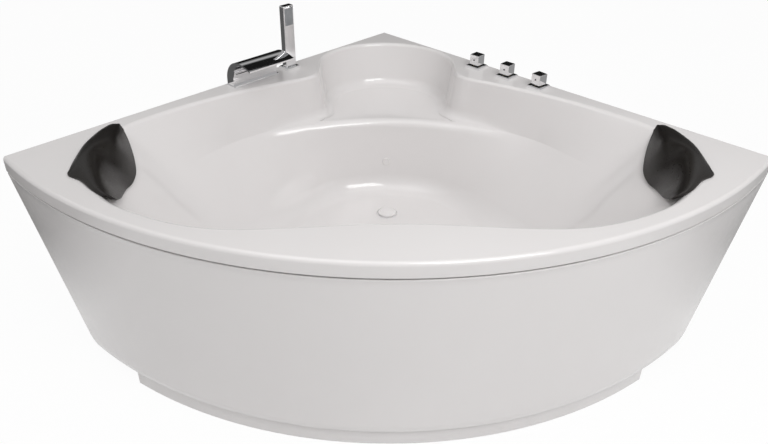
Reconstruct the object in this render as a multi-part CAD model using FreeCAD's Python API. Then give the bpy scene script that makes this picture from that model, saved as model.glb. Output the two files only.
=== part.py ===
"""Corner bathtub with a corner seat, a curved front skirt, deck taps, a waterfall spout and two pillows.

Millimetres, +Z up. The back corner points to +Y and the curved front to -Y. The origin is on the
floor under the middle of the bounding box. Plan places are given as (x, v): x to the right and v
from the back corner towards the front, along the diagonal. Depths are measured down from the rim.
"""
import FreeCAD
import Part
import math
import os

Vector = FreeCAD.Vector
ROOT2 = math.sqrt(2.0)

# ---- overall ----
SIDE = 1500.0                 # each of the two wall sides
FRONT_REACH = 1560.0          # back corner to the front of the rim
FLOOR_RISE = 180.0            # room for the trap under the basin's floor
SHELL = 5.0                   # acrylic with its glass-fibre backing
TOUCH = 0.3                   # gap between soft parts and what they lie on

# ---- rim ----
LIP_HEIGHT = 42.0
LIP_ROLL = 11.0
LIP_CORNER = 6.0
OPENING_ROLL = 10.0

# ---- basin ----
SEAT_DEPTH = 150.0
BASIN_DEPTH = 420.0
SEAT_FILLET = 30.0
EDGE_FILLET = 26.0
FLOOR_FILLET = 60.0
SEAT_FALL = 2.0               # the seat drains towards the basin
SAMPLES = 5                   # points on each curved stretch of an outline
OVERCUT = 1.0                 # how far a cutter passes the face it opens
ARC_LEVELS = 4                # levels in each rounded edge

# Half outlines from the back centre to the front centre: (x, v, heading in degrees).
RIM_OUTLINE = [
    (0.0, 129.0, 0.0), (235.0, 340.0, 90.0), (237.0, 425.0, 88.0), (300.0, 497.0, 27.0),
    (471.0, 595.0, 33.0), (768.0, 850.0, 50.0), (800.0, 985.0, 92.0),
    (697.0, FRONT_REACH - 257.0, 145.0), (385.0, FRONT_REACH - 144.0, 180.0),
    (0.0, FRONT_REACH - 167.0, 180.0)]
PAN_OUTLINE = [
    (0.0, 171.0, 0.0), (214.0, 350.0, 90.0), (216.0, 428.0, 86.0), (296.0, 505.0, 30.0),
    (450.0, 621.0, 36.0)]
LEDGE_OUTLINE = [
    (0.0, 494.0, 0.0), (140.0, 505.0, 9.0), (215.0, 520.0, 16.0), (278.0, 541.0, 22.0),
    (450.0, 621.0, 36.0)]
FLOOR_OUTLINE = [
    (0.0, 505.0, 0.0), (140.0, 529.0, 22.0), (215.0, 573.0, 38.0), (262.0, 620.0, 48.0),
    (345.0, 750.0, 62.0), (415.0, 880.0, 70.0), (455.0, 1020.0, 92.0),
    (390.0, FRONT_REACH - 345.0, 130.0), (235.0, FRONT_REACH - 242.0, 172.0),
    (0.0, FRONT_REACH - 240.0, 180.0)]
FILLET_SHARES = [1.0, 1.0, 1.0, 0.55, 0.0]   # the seat's two folds fade out along its ledge

# ---- skirt and plinth ----
SKIRT_THICK = 4.0
SKIRT_GAP = 5.0               # shadow gap under the lip
SKIRT_INSET = 2.0
SKIRT_FOOT_BACK = 12.0        # the foot of the skirt stands back from the rim
SKIRT_FOOT_TIGHTER = 112.0    # and turns on a smaller radius
SKIRT_FOOT_HALF = 880.0
SKIRT_CORNER = 38.0
BEAD_RADIUS = 4.0
TONGUE_THICK = 3.0
TONGUE_SETBACK = 10.0
TONGUE_RISE = 26.0
PLINTH_HEIGHT = 55.0
PLINTH_INSET = 9.0
PLINTH_HALF = 725.0
FLANGE_DEEP = 34.0
FLANGE_THICK = 3.0
CLIP_SHARES = [-0.75, -0.25, 0.25, 0.75]     # of the way to the skirt's ends
CLIP_WIDE = 40.0
CLIP_SAG = 0.25               # a flat clip between two curved faces
CLIP_RISE = 2.0

# ---- frame and feet ----
TUBE = 30.0
TUBE_WALL = 2.0
BOARD_THICK = 18.0
BOARD_HALF = 380.0
BOARD_BACK = 600.0
BOARD_FRONT_SETBACK = 310.0
BOARD_CORNER = 60.0
RAIL_X = 220.0
RAIL_BACK = 330.0
RAIL_FRONT_SETBACK = 80.0
OUTRIGGER_V = 1060.0
OUTRIGGER_END = 880.0
SEAT_BAR_V = 345.0
SEAT_POST_X = 110.0
POST = 25.0
FOOT_BACK_V = 400.0
FOOT_FRONT_SETBACK = 135.0
FOOT_SIDE_X = 690.0
STUD_RADIUS = 6.0
STUD_TOP_RISE = 12.0          # above the frame, with the foot drawn up
STUD_CLEAR = 0.15
NUT_HEIGHT = 10.0
NUT_ACROSS = 19.0
PAD_RADIUS = 25.0
PAD_HEIGHT = 14.0

# ---- waste ----
DRAIN_V = 679.0
WASTE_RADIUS = 25.0
WASTE_BORE = 21.5
WASTE_FLANGE_RADIUS = 36.0
WASTE_FLANGE_THICK = 3.0
WASTE_LENGTH = 72.0
WASTE_HOLE_CLEAR = 0.5
GASKET_THICK = 3.0
LOCKNUT_RADIUS = 35.0
LOCKNUT_HEIGHT = 12.0
PLUG_RADIUS = 30.0
PLUG_EDGE = 3.0
PLUG_CROWN = 3.5
PLUG_STEM = 4.0
GUIDE_ARM = 2.0                # thickness of the cross that guides the plug's stem
PLUG_CLEAR = 0.05
PLUG_LIFT_GAP = 0.6
TRAP_RADIUS = 45.0
TRAP_WALL = 3.0
TRAP_BOTTOM = 26.0
UNION_RADIUS = 33.0
UNION_HEIGHT = 20.0
OUTLET_RADIUS = 20.0
OUTLET_WALL = 3.0
OUTLET_SPIGOT = 18.5          # the pipe's end in the trap's socket
OUTLET_STEP = 2.0             # between the socket and the pipe's shoulder
OUTLET_Z = 62.0
OUTLET_END_V = 330.0

# ---- overflow ----
OVERFLOW_DEPTH = 75.0
OVERFLOW_HOLE = 22.0
OVERFLOW_BODY_RADIUS = 30.0
OVERFLOW_BODY_LONG = 26.0
OVERFLOW_KNOB_RADIUS = 34.0
OVERFLOW_KNOB_THICK = 10.0
OVERFLOW_KNOB_GAP = 4.0
OVERFLOW_SPINDLE = 5.0
OVERFLOW_SPINDLE_FOOT = -30.0
OVERFLOW_GRIPS = 6
OVERFLOW_GRIP_RADIUS = 5.0
HOSE_RADIUS = 13.0
HOSE_WALL = 2.0
HOSE_RUN_Z = 82.0

# ---- blanking cap on the riser ----
RISER_CAP_DEPTH = 310.0
RISER_CAP_RADIUS = 14.0
RISER_CAP_THICK = 4.0
RISER_STEM_RADIUS = 9.0
RISER_GROOVE = 1.0
RISER_STEM_LONG = 26.0
RISER_NUT_HEIGHT = 8.0

# ---- deck valves ----
KNOB_SETBACK = 40.0
KNOB_STATIONS = {"hot": 490.0, "cold": 619.0, "diverter": 748.0}
KNOB_TURN = {"hot": 0.0, "cold": 0.0, "diverter": -8.0}
PLATE_SIDE = 56.0
PLATE_THICK = 9.0
PLATE_BEVEL = 2.5
CUBE_SIDE = 36.0
CUBE_HEIGHT = 35.0
CUBE_EDGE = 1.2
CUBE_RAISE = 3.5
DOT_RADIUS = 2.8
DOT_DEPTH = 1.5
DOT_PROUD = 0.4
SPINDLE_RADIUS = 6.0
SPINDLE_CLEAR = 0.06
COLLAR_RADIUS = 10.0
SHANK_RADIUS = 14.0
SHANK_CLEAR = 0.5
VALVE_BODY_SIDE = 42.0
VALVE_BODY_HEIGHT = 46.0
VALVE_BODY_TOP = 34.0         # below the deck's underside
INLET_RADIUS = 10.48          # half-inch pipe thread
INLET_LONG = 22.0
LINK_RADIUS = 8.0
OUTLET_STUB_SHIFT = 11.0
OUTLET_STUB_LONG = 10.0
SUPPLY_RADIUS = 6.0
LINK_DROP = 14.0
DECK_NUT_ACROSS = 40.0
NUT_LAND = 12.0
SPINDLE_BITE = 20.0
DOT_SHARE = 0.5

# ---- waterfall spout ----
SPOUT_STATION = 672.0
SPOUT_SETBACK = 34.0
SPOUT_LONG = 186.0
SPOUT_PLATE_WIDE = 48.0
SPOUT_PLATE_THICK = 6.0
HOOD_SHOULDER = 22.0          # above the deck, where the back starts to turn over
HOOD_TURN = 70.0              # radius of that turn, up to the crest
HOOD_REACH = 58.0             # from the crest to the lip
HOOD_DROP = 12.0
HOOD_LIP = 5.0
HOOD_CROWN = 6.5              # thickness at the crest
HOOD_FOOT = 34.0              # thickness at the shoulder
HOOD_BULGE = 10.0             # of the inner face, from its chord
MANIFOLD_RADIUS = 7.0
MANIFOLD_Z = 45.0
MANIFOLD_END = 8.0            # solid left at each end of the hood
SLOT_TALL = 3.0
STRIP_TALL = 18.0
STRIP_THICK = 3.0
SPOUT_SHANK_LONG = 62.0
SPOUT_SHANK_RADIUS = 10.48

# ---- hand shower ----
SHOWER_STATION = 515.0
SHOWER_SETBACK = 34.0
HOLDER_LONG = 56.0
HOLDER_WIDE = 46.0
HOLDER_THICK = 9.0
HOLDER_BORE = 12.0
HOLDER_SHANK = 16.0
HOLDER_SHANK_LONG = 46.0
HANDSET_WIDE = 43.0
HANDSET_DEEP = 23.0
HANDSET_TOP = 219.0
HANDSET_EDGE = 2.5
STUB_RADIUS = 11.6
STUB_LONG = 34.0
SPRAY_WIDE = 35.0
SPRAY_TALL = 58.0
SPRAY_FROM_TOP = 8.0
SPRAY_THICK = 2.0
NOZZLE_RADIUS = 1.1
NOZZLE_PROUD = 0.8
NOZZLE_COLUMNS = 5
NOZZLE_ROWS = 9

# ---- wall brackets and fasteners ----
BRACKET_WIDE = 60.0
BRACKET_DROP = 42.0
BRACKET_SHELF = 22.0
BRACKET_THICK = 3.0
BRACKET_STATIONS = [330.0, 1180.0]
BRACKET_HOLE = 3.25

# ---- pillows ----
PILLOW_START = (797.0, 868.0)
PILLOW_MID = (806.0, 1090.0)
PILLOW_END = (700.0, 1304.0)
PILLOW_REACH_OUT = 50.0       # on the deck
PILLOW_REACH_DOWN = 128.0     # along the backrest
PILLOW_THICK = 44.0
PILLOW_SECTIONS = 9
PILLOW_TAPER = 0.05
PILLOW_ROUND = 0.6
PILLOW_TOP_SKEW = 1.7         # the deck part is widest towards the front
PILLOW_FACE_SKEW = 0.85       # the hanging face is deepest a little behind the middle
PILLOW_SLOPE = 0.80
PILLOW_CROWN_IN = 8.0
PILLOW_CROWN_SHARE = 0.9
PILLOW_BROW_IN = 52.0
PILLOW_BROW_DOWN = 6.0
PILLOW_FACE_IN = 98.0
PILLOW_FACE_DOWN = -62.0
PILLOW_BACK_OUT = 2.0
PILLOW_BACK_DOWN = 30.0
PEG_SHARES = [0.3, 0.68]
PEG_SETBACK = 24.0
PEG_RADIUS = 4.0
PEG_HEAD_RADIUS = 9.0
PEG_BITE = 9.0
PEG_TAIL = 8.0
PEG_WASHER = 2.5

# ---- hose routes, (x, v, z) ----
ARC_SHARE = 0.45
ROUTE_LEAD = 70.0
OVERFLOW_LEAD = 140.0
OVERFLOW_ROUTE = [(0.0, 1386.0, 190.0), (0.0, 1290.0, 105.0), (0.0, 1130.0, 90.0),
                  (0.0, 960.0, HOSE_RUN_Z)]
SPOUT_ROUTE = [(400.0, 520.0, 372.0), (290.0, 425.0, 352.0), (190.0, 290.0, 344.0),
               (70.0, 208.0, 347.0), (-60.0, 195.0, 350.0), (-180.0, 245.0, 346.0),
               (-300.0, 345.0, 352.0), (-405.0, 452.0, 395.0)]
SHOWER_ROUTE = [(415.0, 560.0, 345.0), (300.0, 460.0, 320.0), (205.0, 335.0, 312.0),
                (90.0, 245.0, 313.0), (-40.0, 225.0, 316.0), (-160.0, 265.0, 312.0),
                (-270.0, 352.0, 330.0)]

# ---- worked out ----
RIM_HEIGHT = FLOOR_RISE + BASIN_DEPTH
SEAT_STATIONS = len(PAN_OUTLINE)
HALF_SPAN = SIDE / ROOT2
RIM_SAG = FRONT_REACH - HALF_SPAN
RIM_RADIUS = (HALF_SPAN ** 2 + RIM_SAG ** 2) / (2.0 * RIM_SAG)
RIM_CENTRE = FRONT_REACH - RIM_RADIUS
V_MID = FRONT_REACH / 2.0
DECK_UNDER = RIM_HEIGHT - SHELL
LIP_FOOT = RIM_HEIGHT - LIP_HEIGHT
FLOOR_TOP = FLOOR_RISE
FLOOR_UNDER = FLOOR_TOP - SHELL
BOARD_UNDER = FLOOR_UNDER - BOARD_THICK
TUBE_UNDER = BOARD_UNDER - TUBE
SKIRT_TOP = LIP_FOOT - SKIRT_GAP - BEAD_RADIUS
SKIRT_FOOT_RADIUS = RIM_RADIUS - SKIRT_FOOT_TIGHTER
SKIRT_CENTRE = FRONT_REACH - SKIRT_FOOT_BACK - SKIRT_FOOT_RADIUS
BOARD_FRONT = FRONT_REACH - BOARD_FRONT_SETBACK
RAIL_FRONT = FRONT_REACH - RAIL_FRONT_SETBACK
FOOT_FRONT_V = FRONT_REACH - FOOT_FRONT_SETBACK
NODES = {}


def at(x, v, z):
    """The model point for a plan place and a height."""
    return Vector(x, V_MID - v, z)


def keep(name, *solids):
    """Adds solids to a named node."""
    NODES.setdefault(name, []).extend(solids)


def box(x0, x1, v0, v1, z0, z1):
    """An upright box between two plan corners."""
    return Part.makeBox(x1 - x0, v1 - v0, z1 - z0, at(x0, v1, z0))


def rod(x, v, z0, z1, radius):
    """An upright cylinder."""
    return Part.makeCylinder(radius, z1 - z0, at(x, v, z0))


def tube(x, v, z0, z1, radius, bore):
    """An upright tube."""
    return rod(x, v, z0, z1, radius).cut(rod(x, v, z0, z1, bore))


def hexagon(x, v, z0, z1, across, bore):
    """An upright hexagon nut."""
    corner = across / math.sqrt(3.0)
    points = [at(x + corner * math.cos(math.radians(60 * k)),
                 v + corner * math.sin(math.radians(60 * k)), z0) for k in range(7)]
    body = Part.Face(Part.makePolygon(points)).extrude(Vector(0, 0, z1 - z0))
    return body.cut(rod(x, v, z0, z1, bore))


def wall_place(side, station, setback):
    """Frame on a wall side: local X along the wall, Y towards the basin, Z up from the deck."""
    x = side * (station - setback) / ROOT2
    v = (station + setback) / ROOT2
    turn = 135.0 if side > 0 else -135.0
    return FreeCAD.Placement(at(x, v, RIM_HEIGHT), FreeCAD.Rotation(Vector(0, 0, 1), turn))


def placed(shape, placement):
    """A copy of a shape moved from its local frame."""
    moved = shape.copy()
    moved.Placement = placement.multiply(moved.Placement)
    return moved


def local_box(x0, x1, y0, y1, z0, z1):
    """A box in a local frame."""
    return Part.makeBox(x1 - x0, y1 - y0, z1 - z0, Vector(x0, y0, z0))


def local_rod(z0, z1, radius):
    """A cylinder on the Z axis of a local frame."""
    return Part.makeCylinder(radius, z1 - z0, Vector(0, 0, z0))


def edges_where(shape, test):
    """The edges of a shape whose middle passes a test."""
    return [e for e in shape.Edges if test(e.CenterOfMass, e)]


# ---------------------------------------------------------------- plan outlines

def plan_wire(inset, z):
    """The rim's plan outline, moved in by an inset: two wall lines and the front arc."""
    shift = inset * ROOT2
    radius = RIM_RADIUS - inset
    rise = shift - RIM_CENTRE
    half = (-rise + math.sqrt(2.0 * radius ** 2 - rise ** 2)) / 2.0
    back = at(0, shift, z)
    right = at(half, half + shift, z)
    left = at(-half, half + shift, z)
    front = at(0, RIM_CENTRE + radius, z)
    return Part.Wire([Part.makeLine(back, right), Part.Arc(right, front, left).toShape(),
                      Part.makeLine(left, back)])


def moved_in(station, inset):
    """A station moved towards the inside of its outline."""
    x, v, heading = station
    inward = math.radians(heading + 90.0)
    return (x + inset * math.cos(inward), v + inset * math.sin(inward), heading)


def between(first, second, share):
    """A station part of the way from one to another."""
    return tuple(a + (b - a) * share for a, b in zip(first, second))


def curve_points(first, second):
    """Points on the curve that joins two stations along their headings."""
    chord = math.hypot(second[0] - first[0], second[1] - first[1])
    turn = math.radians(second[2] - first[2])
    reach = chord / (3.0 * math.cos(turn / 4.0) ** 2)
    start, end = math.radians(first[2]), math.radians(second[2])
    poles = [first[:2],
             (first[0] + reach * math.cos(start), first[1] + reach * math.sin(start)),
             (second[0] - reach * math.cos(end), second[1] - reach * math.sin(end)),
             second[:2]]
    points = []
    for k in range(SAMPLES):
        t = k / SAMPLES
        weights = [(1 - t) ** 3, 3 * t * (1 - t) ** 2, 3 * t * t * (1 - t), t ** 3]
        points.append(tuple(sum(w * p[i] for w, p in zip(weights, poles)) for i in (0, 1)))
    return points


def outline_wire(stations, z):
    """A closed smooth wire through a half outline and its mirror image."""
    half = []
    for first, second in zip(stations, stations[1:]):
        half.extend(curve_points(first, second))
    half.append(stations[-1][:2])
    full = half + [(-x, v) for x, v in reversed(half[1:-1])]
    curve = Part.BSplineCurve()
    curve.interpolate(Points=[at(x, v, z) for x, v in full], PeriodicFlag=True)
    return Part.Wire([curve.toShape()])


def basin_levels(skin):
    """(nominal depth, depth, inset, tilt inset, zone) down the basin; skin is 0 inside."""
    angles = [math.radians(90.0 * k / ARC_LEVELS) for k in range(ARC_LEVELS + 1)]
    levels = []

    def add(depth, inset, tilt, zone):
        levels.append((depth, depth + skin * math.sin(tilt), inset, -skin * math.cos(tilt), zone))

    for a in reversed(angles):
        add(OPENING_ROLL * (1 - math.sin(a)), -OPENING_ROLL * (1 - math.cos(a)), a, "rim")
    for a in angles:
        add(SEAT_DEPTH - SEAT_FILLET + SEAT_FILLET * math.sin(a), SEAT_FILLET * (1 - math.cos(a)),
            a, "pan")
    for a in reversed(angles):
        add(SEAT_DEPTH + SEAT_FALL + EDGE_FILLET * (1 - math.sin(a)),
            -EDGE_FILLET * (1 - math.cos(a)), a, "ledge")
    for a in angles:
        add(BASIN_DEPTH - FLOOR_FILLET + FLOOR_FILLET * math.sin(a),
            FLOOR_FILLET * (1 - math.cos(a)), a, "floor")
    return levels


def level_stations(level, skin):
    """The half outline of one level."""
    nominal, depth, inset, tilt_inset, zone = level
    stations = []
    for k, (rim, floor) in enumerate(zip(RIM_OUTLINE, FLOOR_OUTLINE)):
        if k >= SEAT_STATIONS:
            wall = between(rim, floor, depth / BASIN_DEPTH)
            rounded = 0.0
        elif zone in ("rim", "pan"):
            wall = between(rim, PAN_OUTLINE[k], nominal / SEAT_DEPTH)
            rounded = FILLET_SHARES[k]
        else:
            share = (nominal - SEAT_DEPTH) / (BASIN_DEPTH - SEAT_DEPTH)
            wall = between(LEDGE_OUTLINE[k], floor, share)
            rounded = FILLET_SHARES[k]
        if zone in ("rim", "floor"):
            rounded = 1.0
        stations.append(moved_in(wall, (inset + tilt_inset) * rounded - skin * (1 - rounded)))
    return stations


def basin_solid(skin, top_depth):
    """The basin as a closed solid; the top outline is carried up to a given depth."""
    wires = []
    for level in basin_levels(skin):
        stations = level_stations(level, skin)
        if not wires:
            wires.append(outline_wire(stations, RIM_HEIGHT - top_depth))
        wires.append(outline_wire(stations, RIM_HEIGHT - level[1]))
    return Part.makeLoft(wires, True, True)


# ---------------------------------------------------------------- shell

def make_rim():
    """Deck with its rolled front lip and turned-down wall flanges."""
    block = Part.Face(plan_wire(0.0, LIP_FOOT)).extrude(Vector(0, 0, LIP_HEIGHT))

    def is_end_corner(c, e):
        return abs(abs(c.x) - HALF_SPAN) < 1.0 and abs(c.z - LIP_FOOT - LIP_HEIGHT / 2) < 1.0

    block = block.makeFillet(LIP_CORNER, edges_where(block, is_end_corner))

    def is_front_top(c, e):
        return abs(c.z - RIM_HEIGHT) < 1e-3 and c.y < V_MID - HALF_SPAN + LIP_ROLL

    block = block.makeFillet(LIP_ROLL, edges_where(block, is_front_top))
    hollow = Part.Face(plan_wire(SHELL, LIP_FOOT - OVERCUT)).extrude(
        Vector(0, 0, LIP_HEIGHT + OVERCUT - SHELL))
    return block.cut(hollow)


def wall_at(first, last, depth):
    """Where a straight-falling wall of the basin stands at a depth."""
    return first + (last - first) * depth / BASIN_DEPTH


def front_wall_place():
    """Frame of the overflow: local Z points into the basin, square to the front wall."""
    v = wall_at(RIM_OUTLINE[-1][1], FLOOR_OUTLINE[-1][1], OVERFLOW_DEPTH)
    lean = math.degrees(math.atan2(RIM_OUTLINE[-1][1] - FLOOR_OUTLINE[-1][1], BASIN_DEPTH))
    return FreeCAD.Placement(at(0, v, RIM_HEIGHT - OVERFLOW_DEPTH),
                             FreeCAD.Rotation(Vector(1, 0, 0), lean - 90.0))


def riser_place():
    """Frame of the blanking cap: local Z points into the basin, square to the riser."""
    top, foot = LEDGE_OUTLINE[0][1], FLOOR_OUTLINE[0][1]
    run = BASIN_DEPTH - SEAT_DEPTH
    v = top + (foot - top) * (RISER_CAP_DEPTH - SEAT_DEPTH) / run
    lean = math.degrees(math.atan2(foot - top, run))
    return FreeCAD.Placement(at(0, v, RIM_HEIGHT - RISER_CAP_DEPTH),
                             FreeCAD.Rotation(Vector(1, 0, 0), 90.0 - lean))


def knob_place(name):
    """Frame of a deck valve, turned as it stands at rest."""
    return wall_place(1, KNOB_STATIONS[name], KNOB_SETBACK)


SPOUT_PLACE = wall_place(-1, SPOUT_STATION, SPOUT_SETBACK)
SHOWER_PLACE = wall_place(-1, SHOWER_STATION, SHOWER_SETBACK)


def pillow_point(share):
    """Spine of a pillow along the basin's end: a curve through three plan points."""
    a = (1 - share) * (1 - 2 * share)
    b = 4 * share * (1 - share)
    c = share * (2 * share - 1)
    return tuple(a * s + b * m + c * e for s, m, e in zip(PILLOW_START, PILLOW_MID, PILLOW_END))


def pillow_outward(share):
    """Unit direction across the spine, away from the basin."""
    step = 0.01
    x0, v0 = pillow_point(share - step)
    x1, v1 = pillow_point(share + step)
    long = math.hypot(x1 - x0, v1 - v0)
    return ((v1 - v0) / long, -(x1 - x0) / long)


def peg_places():
    """Plan places of the pillows' pegs, two on each side."""
    places = []
    for share in PEG_SHARES:
        x, v = pillow_point(share)
        out_x, out_v = pillow_outward(share)
        x, v = x + PEG_SETBACK * out_x, v + PEG_SETBACK * out_v
        places.extend([(x, v), (-x, v)])
    return places


def make_shell():
    """The one-piece tub: deck, rolled lip, corner seat, basin and its holes."""
    shell = make_rim().fuse(basin_solid(SHELL, SHELL / 2)).cut(basin_solid(0.0, -OVERCUT))
    holes = [rod(0, DRAIN_V, FLOOR_UNDER - OVERCUT, FLOOR_TOP + OVERCUT,
                 WASTE_RADIUS + WASTE_HOLE_CLEAR)]
    holes.append(placed(local_rod(-3 * SHELL, 2 * SHELL, OVERFLOW_HOLE), front_wall_place()))
    holes.append(placed(local_rod(-3 * SHELL, 2 * SHELL, RISER_STEM_RADIUS + SHANK_CLEAR),
                        riser_place()))
    shank_hole = local_rod(-2 * SHELL, SHELL, SHANK_RADIUS + SHANK_CLEAR)
    holes.extend(placed(shank_hole, knob_place(name)) for name in KNOB_STATIONS)
    holes.append(placed(local_rod(-2 * SHELL, SHELL, SPOUT_SHANK_RADIUS + SHANK_CLEAR), SPOUT_PLACE))
    holes.append(placed(local_rod(-2 * SHELL, SHELL, HOLDER_SHANK + SHANK_CLEAR), SHOWER_PLACE))
    holes.extend(rod(x, v, DECK_UNDER - OVERCUT, RIM_HEIGHT + OVERCUT, PEG_RADIUS + TOUCH)
                 for x, v in peg_places())
    for hole in holes:
        shell = shell.cut(hole)
    keep("tub_shell", shell)


# ---------------------------------------------------------------- skirt

def arc_band(centre_v, outer, inner, half, z0, z1):
    """A curved upright band of constant height, as wide as a half width on its outer arc."""
    angle = math.asin(half / outer)
    start = at(-outer * math.sin(angle), centre_v + outer * math.cos(angle), z0)
    inside = at(-inner * math.sin(angle), centre_v + inner * math.cos(angle), z0)
    up = Vector(0, 0, z1 - z0)
    face = Part.Face(Part.makePolygon([start, inside, inside + up, start + up, start]))
    return face.revolve(at(0, centre_v, 0), Vector(0, 0, 1), math.degrees(2 * angle))


def arc_section(centre_v, outer, thick, half, z):
    """Closed wire of a thin curved band at one height."""
    inner = outer - thick
    angle = math.asin(half / outer)

    def spot(radius, turn):
        return at(radius * math.sin(turn), centre_v + radius * math.cos(turn), z)

    return Part.Wire([Part.Arc(spot(outer, -angle), spot(outer, 0), spot(outer, angle)).toShape(),
                      Part.makeLine(spot(outer, angle), spot(inner, angle)),
                      Part.Arc(spot(inner, angle), spot(inner, 0), spot(inner, -angle)).toShape(),
                      Part.makeLine(spot(inner, -angle), spot(outer, -angle))])


def make_skirt():
    """Curved front panel: falling sheet, bead along its top, tongue behind the lip, foot flange."""
    radius = RIM_RADIUS - SKIRT_INSET
    half = HALF_SPAN - 2 * SKIRT_INSET
    sheet = Part.makeLoft([arc_section(RIM_CENTRE, radius, SKIRT_THICK, half, SKIRT_TOP),
                           arc_section(SKIRT_CENTRE, SKIRT_FOOT_RADIUS, SKIRT_THICK,
                                       SKIRT_FOOT_HALF, PLINTH_HEIGHT)], True, True)

    def is_low_corner(c, e):
        return abs(c.z - PLINTH_HEIGHT) < 1e-3 and abs(c.x) > SKIRT_FOOT_HALF - 2 * SKIRT_THICK

    sheet = sheet.makeFillet(SKIRT_CORNER, edges_where(sheet, is_low_corner))
    middle = radius - BEAD_RADIUS
    angle = math.asin(half / radius)
    spot = at(-middle * math.sin(angle), RIM_CENTRE + middle * math.cos(angle), SKIRT_TOP)
    across = Vector(math.cos(angle), -math.sin(angle), 0)
    ring = Part.Face(Part.Wire([Part.Circle(spot, across, BEAD_RADIUS).toShape()]))
    bead = ring.revolve(at(0, RIM_CENTRE, 0), Vector(0, 0, 1), math.degrees(2 * angle))
    tongue_outer = RIM_RADIUS - TONGUE_SETBACK
    tongue = arc_band(RIM_CENTRE, tongue_outer, tongue_outer - TONGUE_THICK,
                      HALF_SPAN - 4 * TONGUE_SETBACK, SKIRT_TOP - BEAD_RADIUS,
                      SKIRT_TOP + TONGUE_RISE)
    web = arc_band(RIM_CENTRE, middle, tongue_outer - TONGUE_THICK,
                   HALF_SPAN - 4 * TONGUE_SETBACK, SKIRT_TOP - BEAD_RADIUS,
                   SKIRT_TOP - BEAD_RADIUS + TONGUE_THICK)
    foot = arc_band(SKIRT_CENTRE, SKIRT_FOOT_RADIUS - OVERCUT, SKIRT_FOOT_RADIUS - FLANGE_DEEP,
                    PLINTH_HALF, PLINTH_HEIGHT, PLINTH_HEIGHT + FLANGE_THICK)
    keep("skirt_panel", sheet.fuse(bead).fuse(tongue).fuse(web).fuse(foot).removeSplitter())


def make_plinth():
    """Toe-kick strip set back under the skirt, with a flange on top."""
    outer = SKIRT_FOOT_RADIUS - PLINTH_INSET
    band = arc_band(SKIRT_CENTRE, outer, outer - SKIRT_THICK, PLINTH_HALF, 0, PLINTH_HEIGHT)
    flange = arc_band(SKIRT_CENTRE, outer - OVERCUT, SKIRT_FOOT_RADIUS - FLANGE_DEEP, PLINTH_HALF,
                      PLINTH_HEIGHT - FLANGE_THICK, PLINTH_HEIGHT)
    keep("plinth_strip", band.fuse(flange).removeSplitter())


def make_skirt_clips():
    """Spacer clips that hold the skirt's tongue behind the rim's lip."""
    outer = RIM_RADIUS - SHELL
    inner = RIM_RADIUS - TONGUE_SETBACK
    end = math.degrees(math.asin(HALF_SPAN / RIM_RADIUS))
    for share in CLIP_SHARES:
        piece = local_box(-CLIP_WIDE / 2, CLIP_WIDE / 2, inner + CLIP_SAG, outer - CLIP_SAG,
                          LIP_FOOT + CLIP_RISE, SKIRT_TOP + TONGUE_RISE)
        spot = FreeCAD.Placement(at(0, RIM_CENTRE, 0),
                                 FreeCAD.Rotation(Vector(0, 0, 1), 180.0 + share * end))
        keep("skirt_clips", placed(piece, spot))


# ---------------------------------------------------------------- frame and feet

def square_tube(x0, x1, v0, v1, along):
    """A hollow steel tube of the frame between two plan corners, on the frame's level."""
    outer = box(x0, x1, v0, v1, TUBE_UNDER, BOARD_UNDER)
    w = TUBE_WALL
    if along == "x":
        inner = box(x0, x1, v0 + w, v1 - w, TUBE_UNDER + w, BOARD_UNDER - w)
    else:
        inner = box(x0 + w, x1 - w, v0, v1, TUBE_UNDER + w, BOARD_UNDER - w)
    return outer.cut(inner)


def foot_places():
    """Plan places of the six levelling feet."""
    return {"back_left": (-RAIL_X, FOOT_BACK_V), "back_right": (RAIL_X, FOOT_BACK_V),
            "front_left": (-RAIL_X, FOOT_FRONT_V), "front_right": (RAIL_X, FOOT_FRONT_V),
            "side_left": (-FOOT_SIDE_X, OUTRIGGER_V), "side_right": (FOOT_SIDE_X, OUTRIGGER_V)}


def make_frame():
    """Steel frame: two rails, two outriggers, a seat bar and the posts that carry the rim."""
    half = TUBE / 2
    bores = [rod(x, v, TUBE_UNDER - OVERCUT, BOARD_UNDER + OVERCUT, STUD_RADIUS + STUD_CLEAR)
             for x, v in foot_places().values()]

    def drilled(shape):
        for bore in bores:
            shape = shape.cut(bore)
        return shape

    inside = RAIL_X + half
    for side in (-1, 1):
        x = side * RAIL_X
        rail = square_tube(x - half, x + half, RAIL_BACK, RAIL_FRONT, "v")
        keep("frame_tubes", drilled(rail))
        x0, x1 = sorted((side * inside, side * OUTRIGGER_END))
        arm = square_tube(x0, x1, OUTRIGGER_V - half, OUTRIGGER_V + half, "x")
        keep("frame_tubes", drilled(arm))
        end_x = side * (OUTRIGGER_END - POST / 2)
        for px, pv, top in ((x, RAIL_FRONT - POST / 2, DECK_UNDER),
                            (end_x, OUTRIGGER_V, DECK_UNDER),
                            (side * SEAT_POST_X, SEAT_BAR_V, seat_under())):
            keep("frame_posts", box(px - POST / 2, px + POST / 2, pv - POST / 2, pv + POST / 2,
                                    BOARD_UNDER, top))
    keep("frame_tubes", square_tube(half - RAIL_X, RAIL_X - half, SEAT_BAR_V - half,
                                       SEAT_BAR_V + half, "x"))


def seat_under():
    """Height of the seat's underside over the front edge of the seat bar's posts."""
    back, front = PAN_OUTLINE[0][1], LEDGE_OUTLINE[0][1]
    share = (SEAT_BAR_V + POST / 2 - back) / (front - back)
    return RIM_HEIGHT - SEAT_DEPTH - SHELL - SEAT_FALL * share


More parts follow.
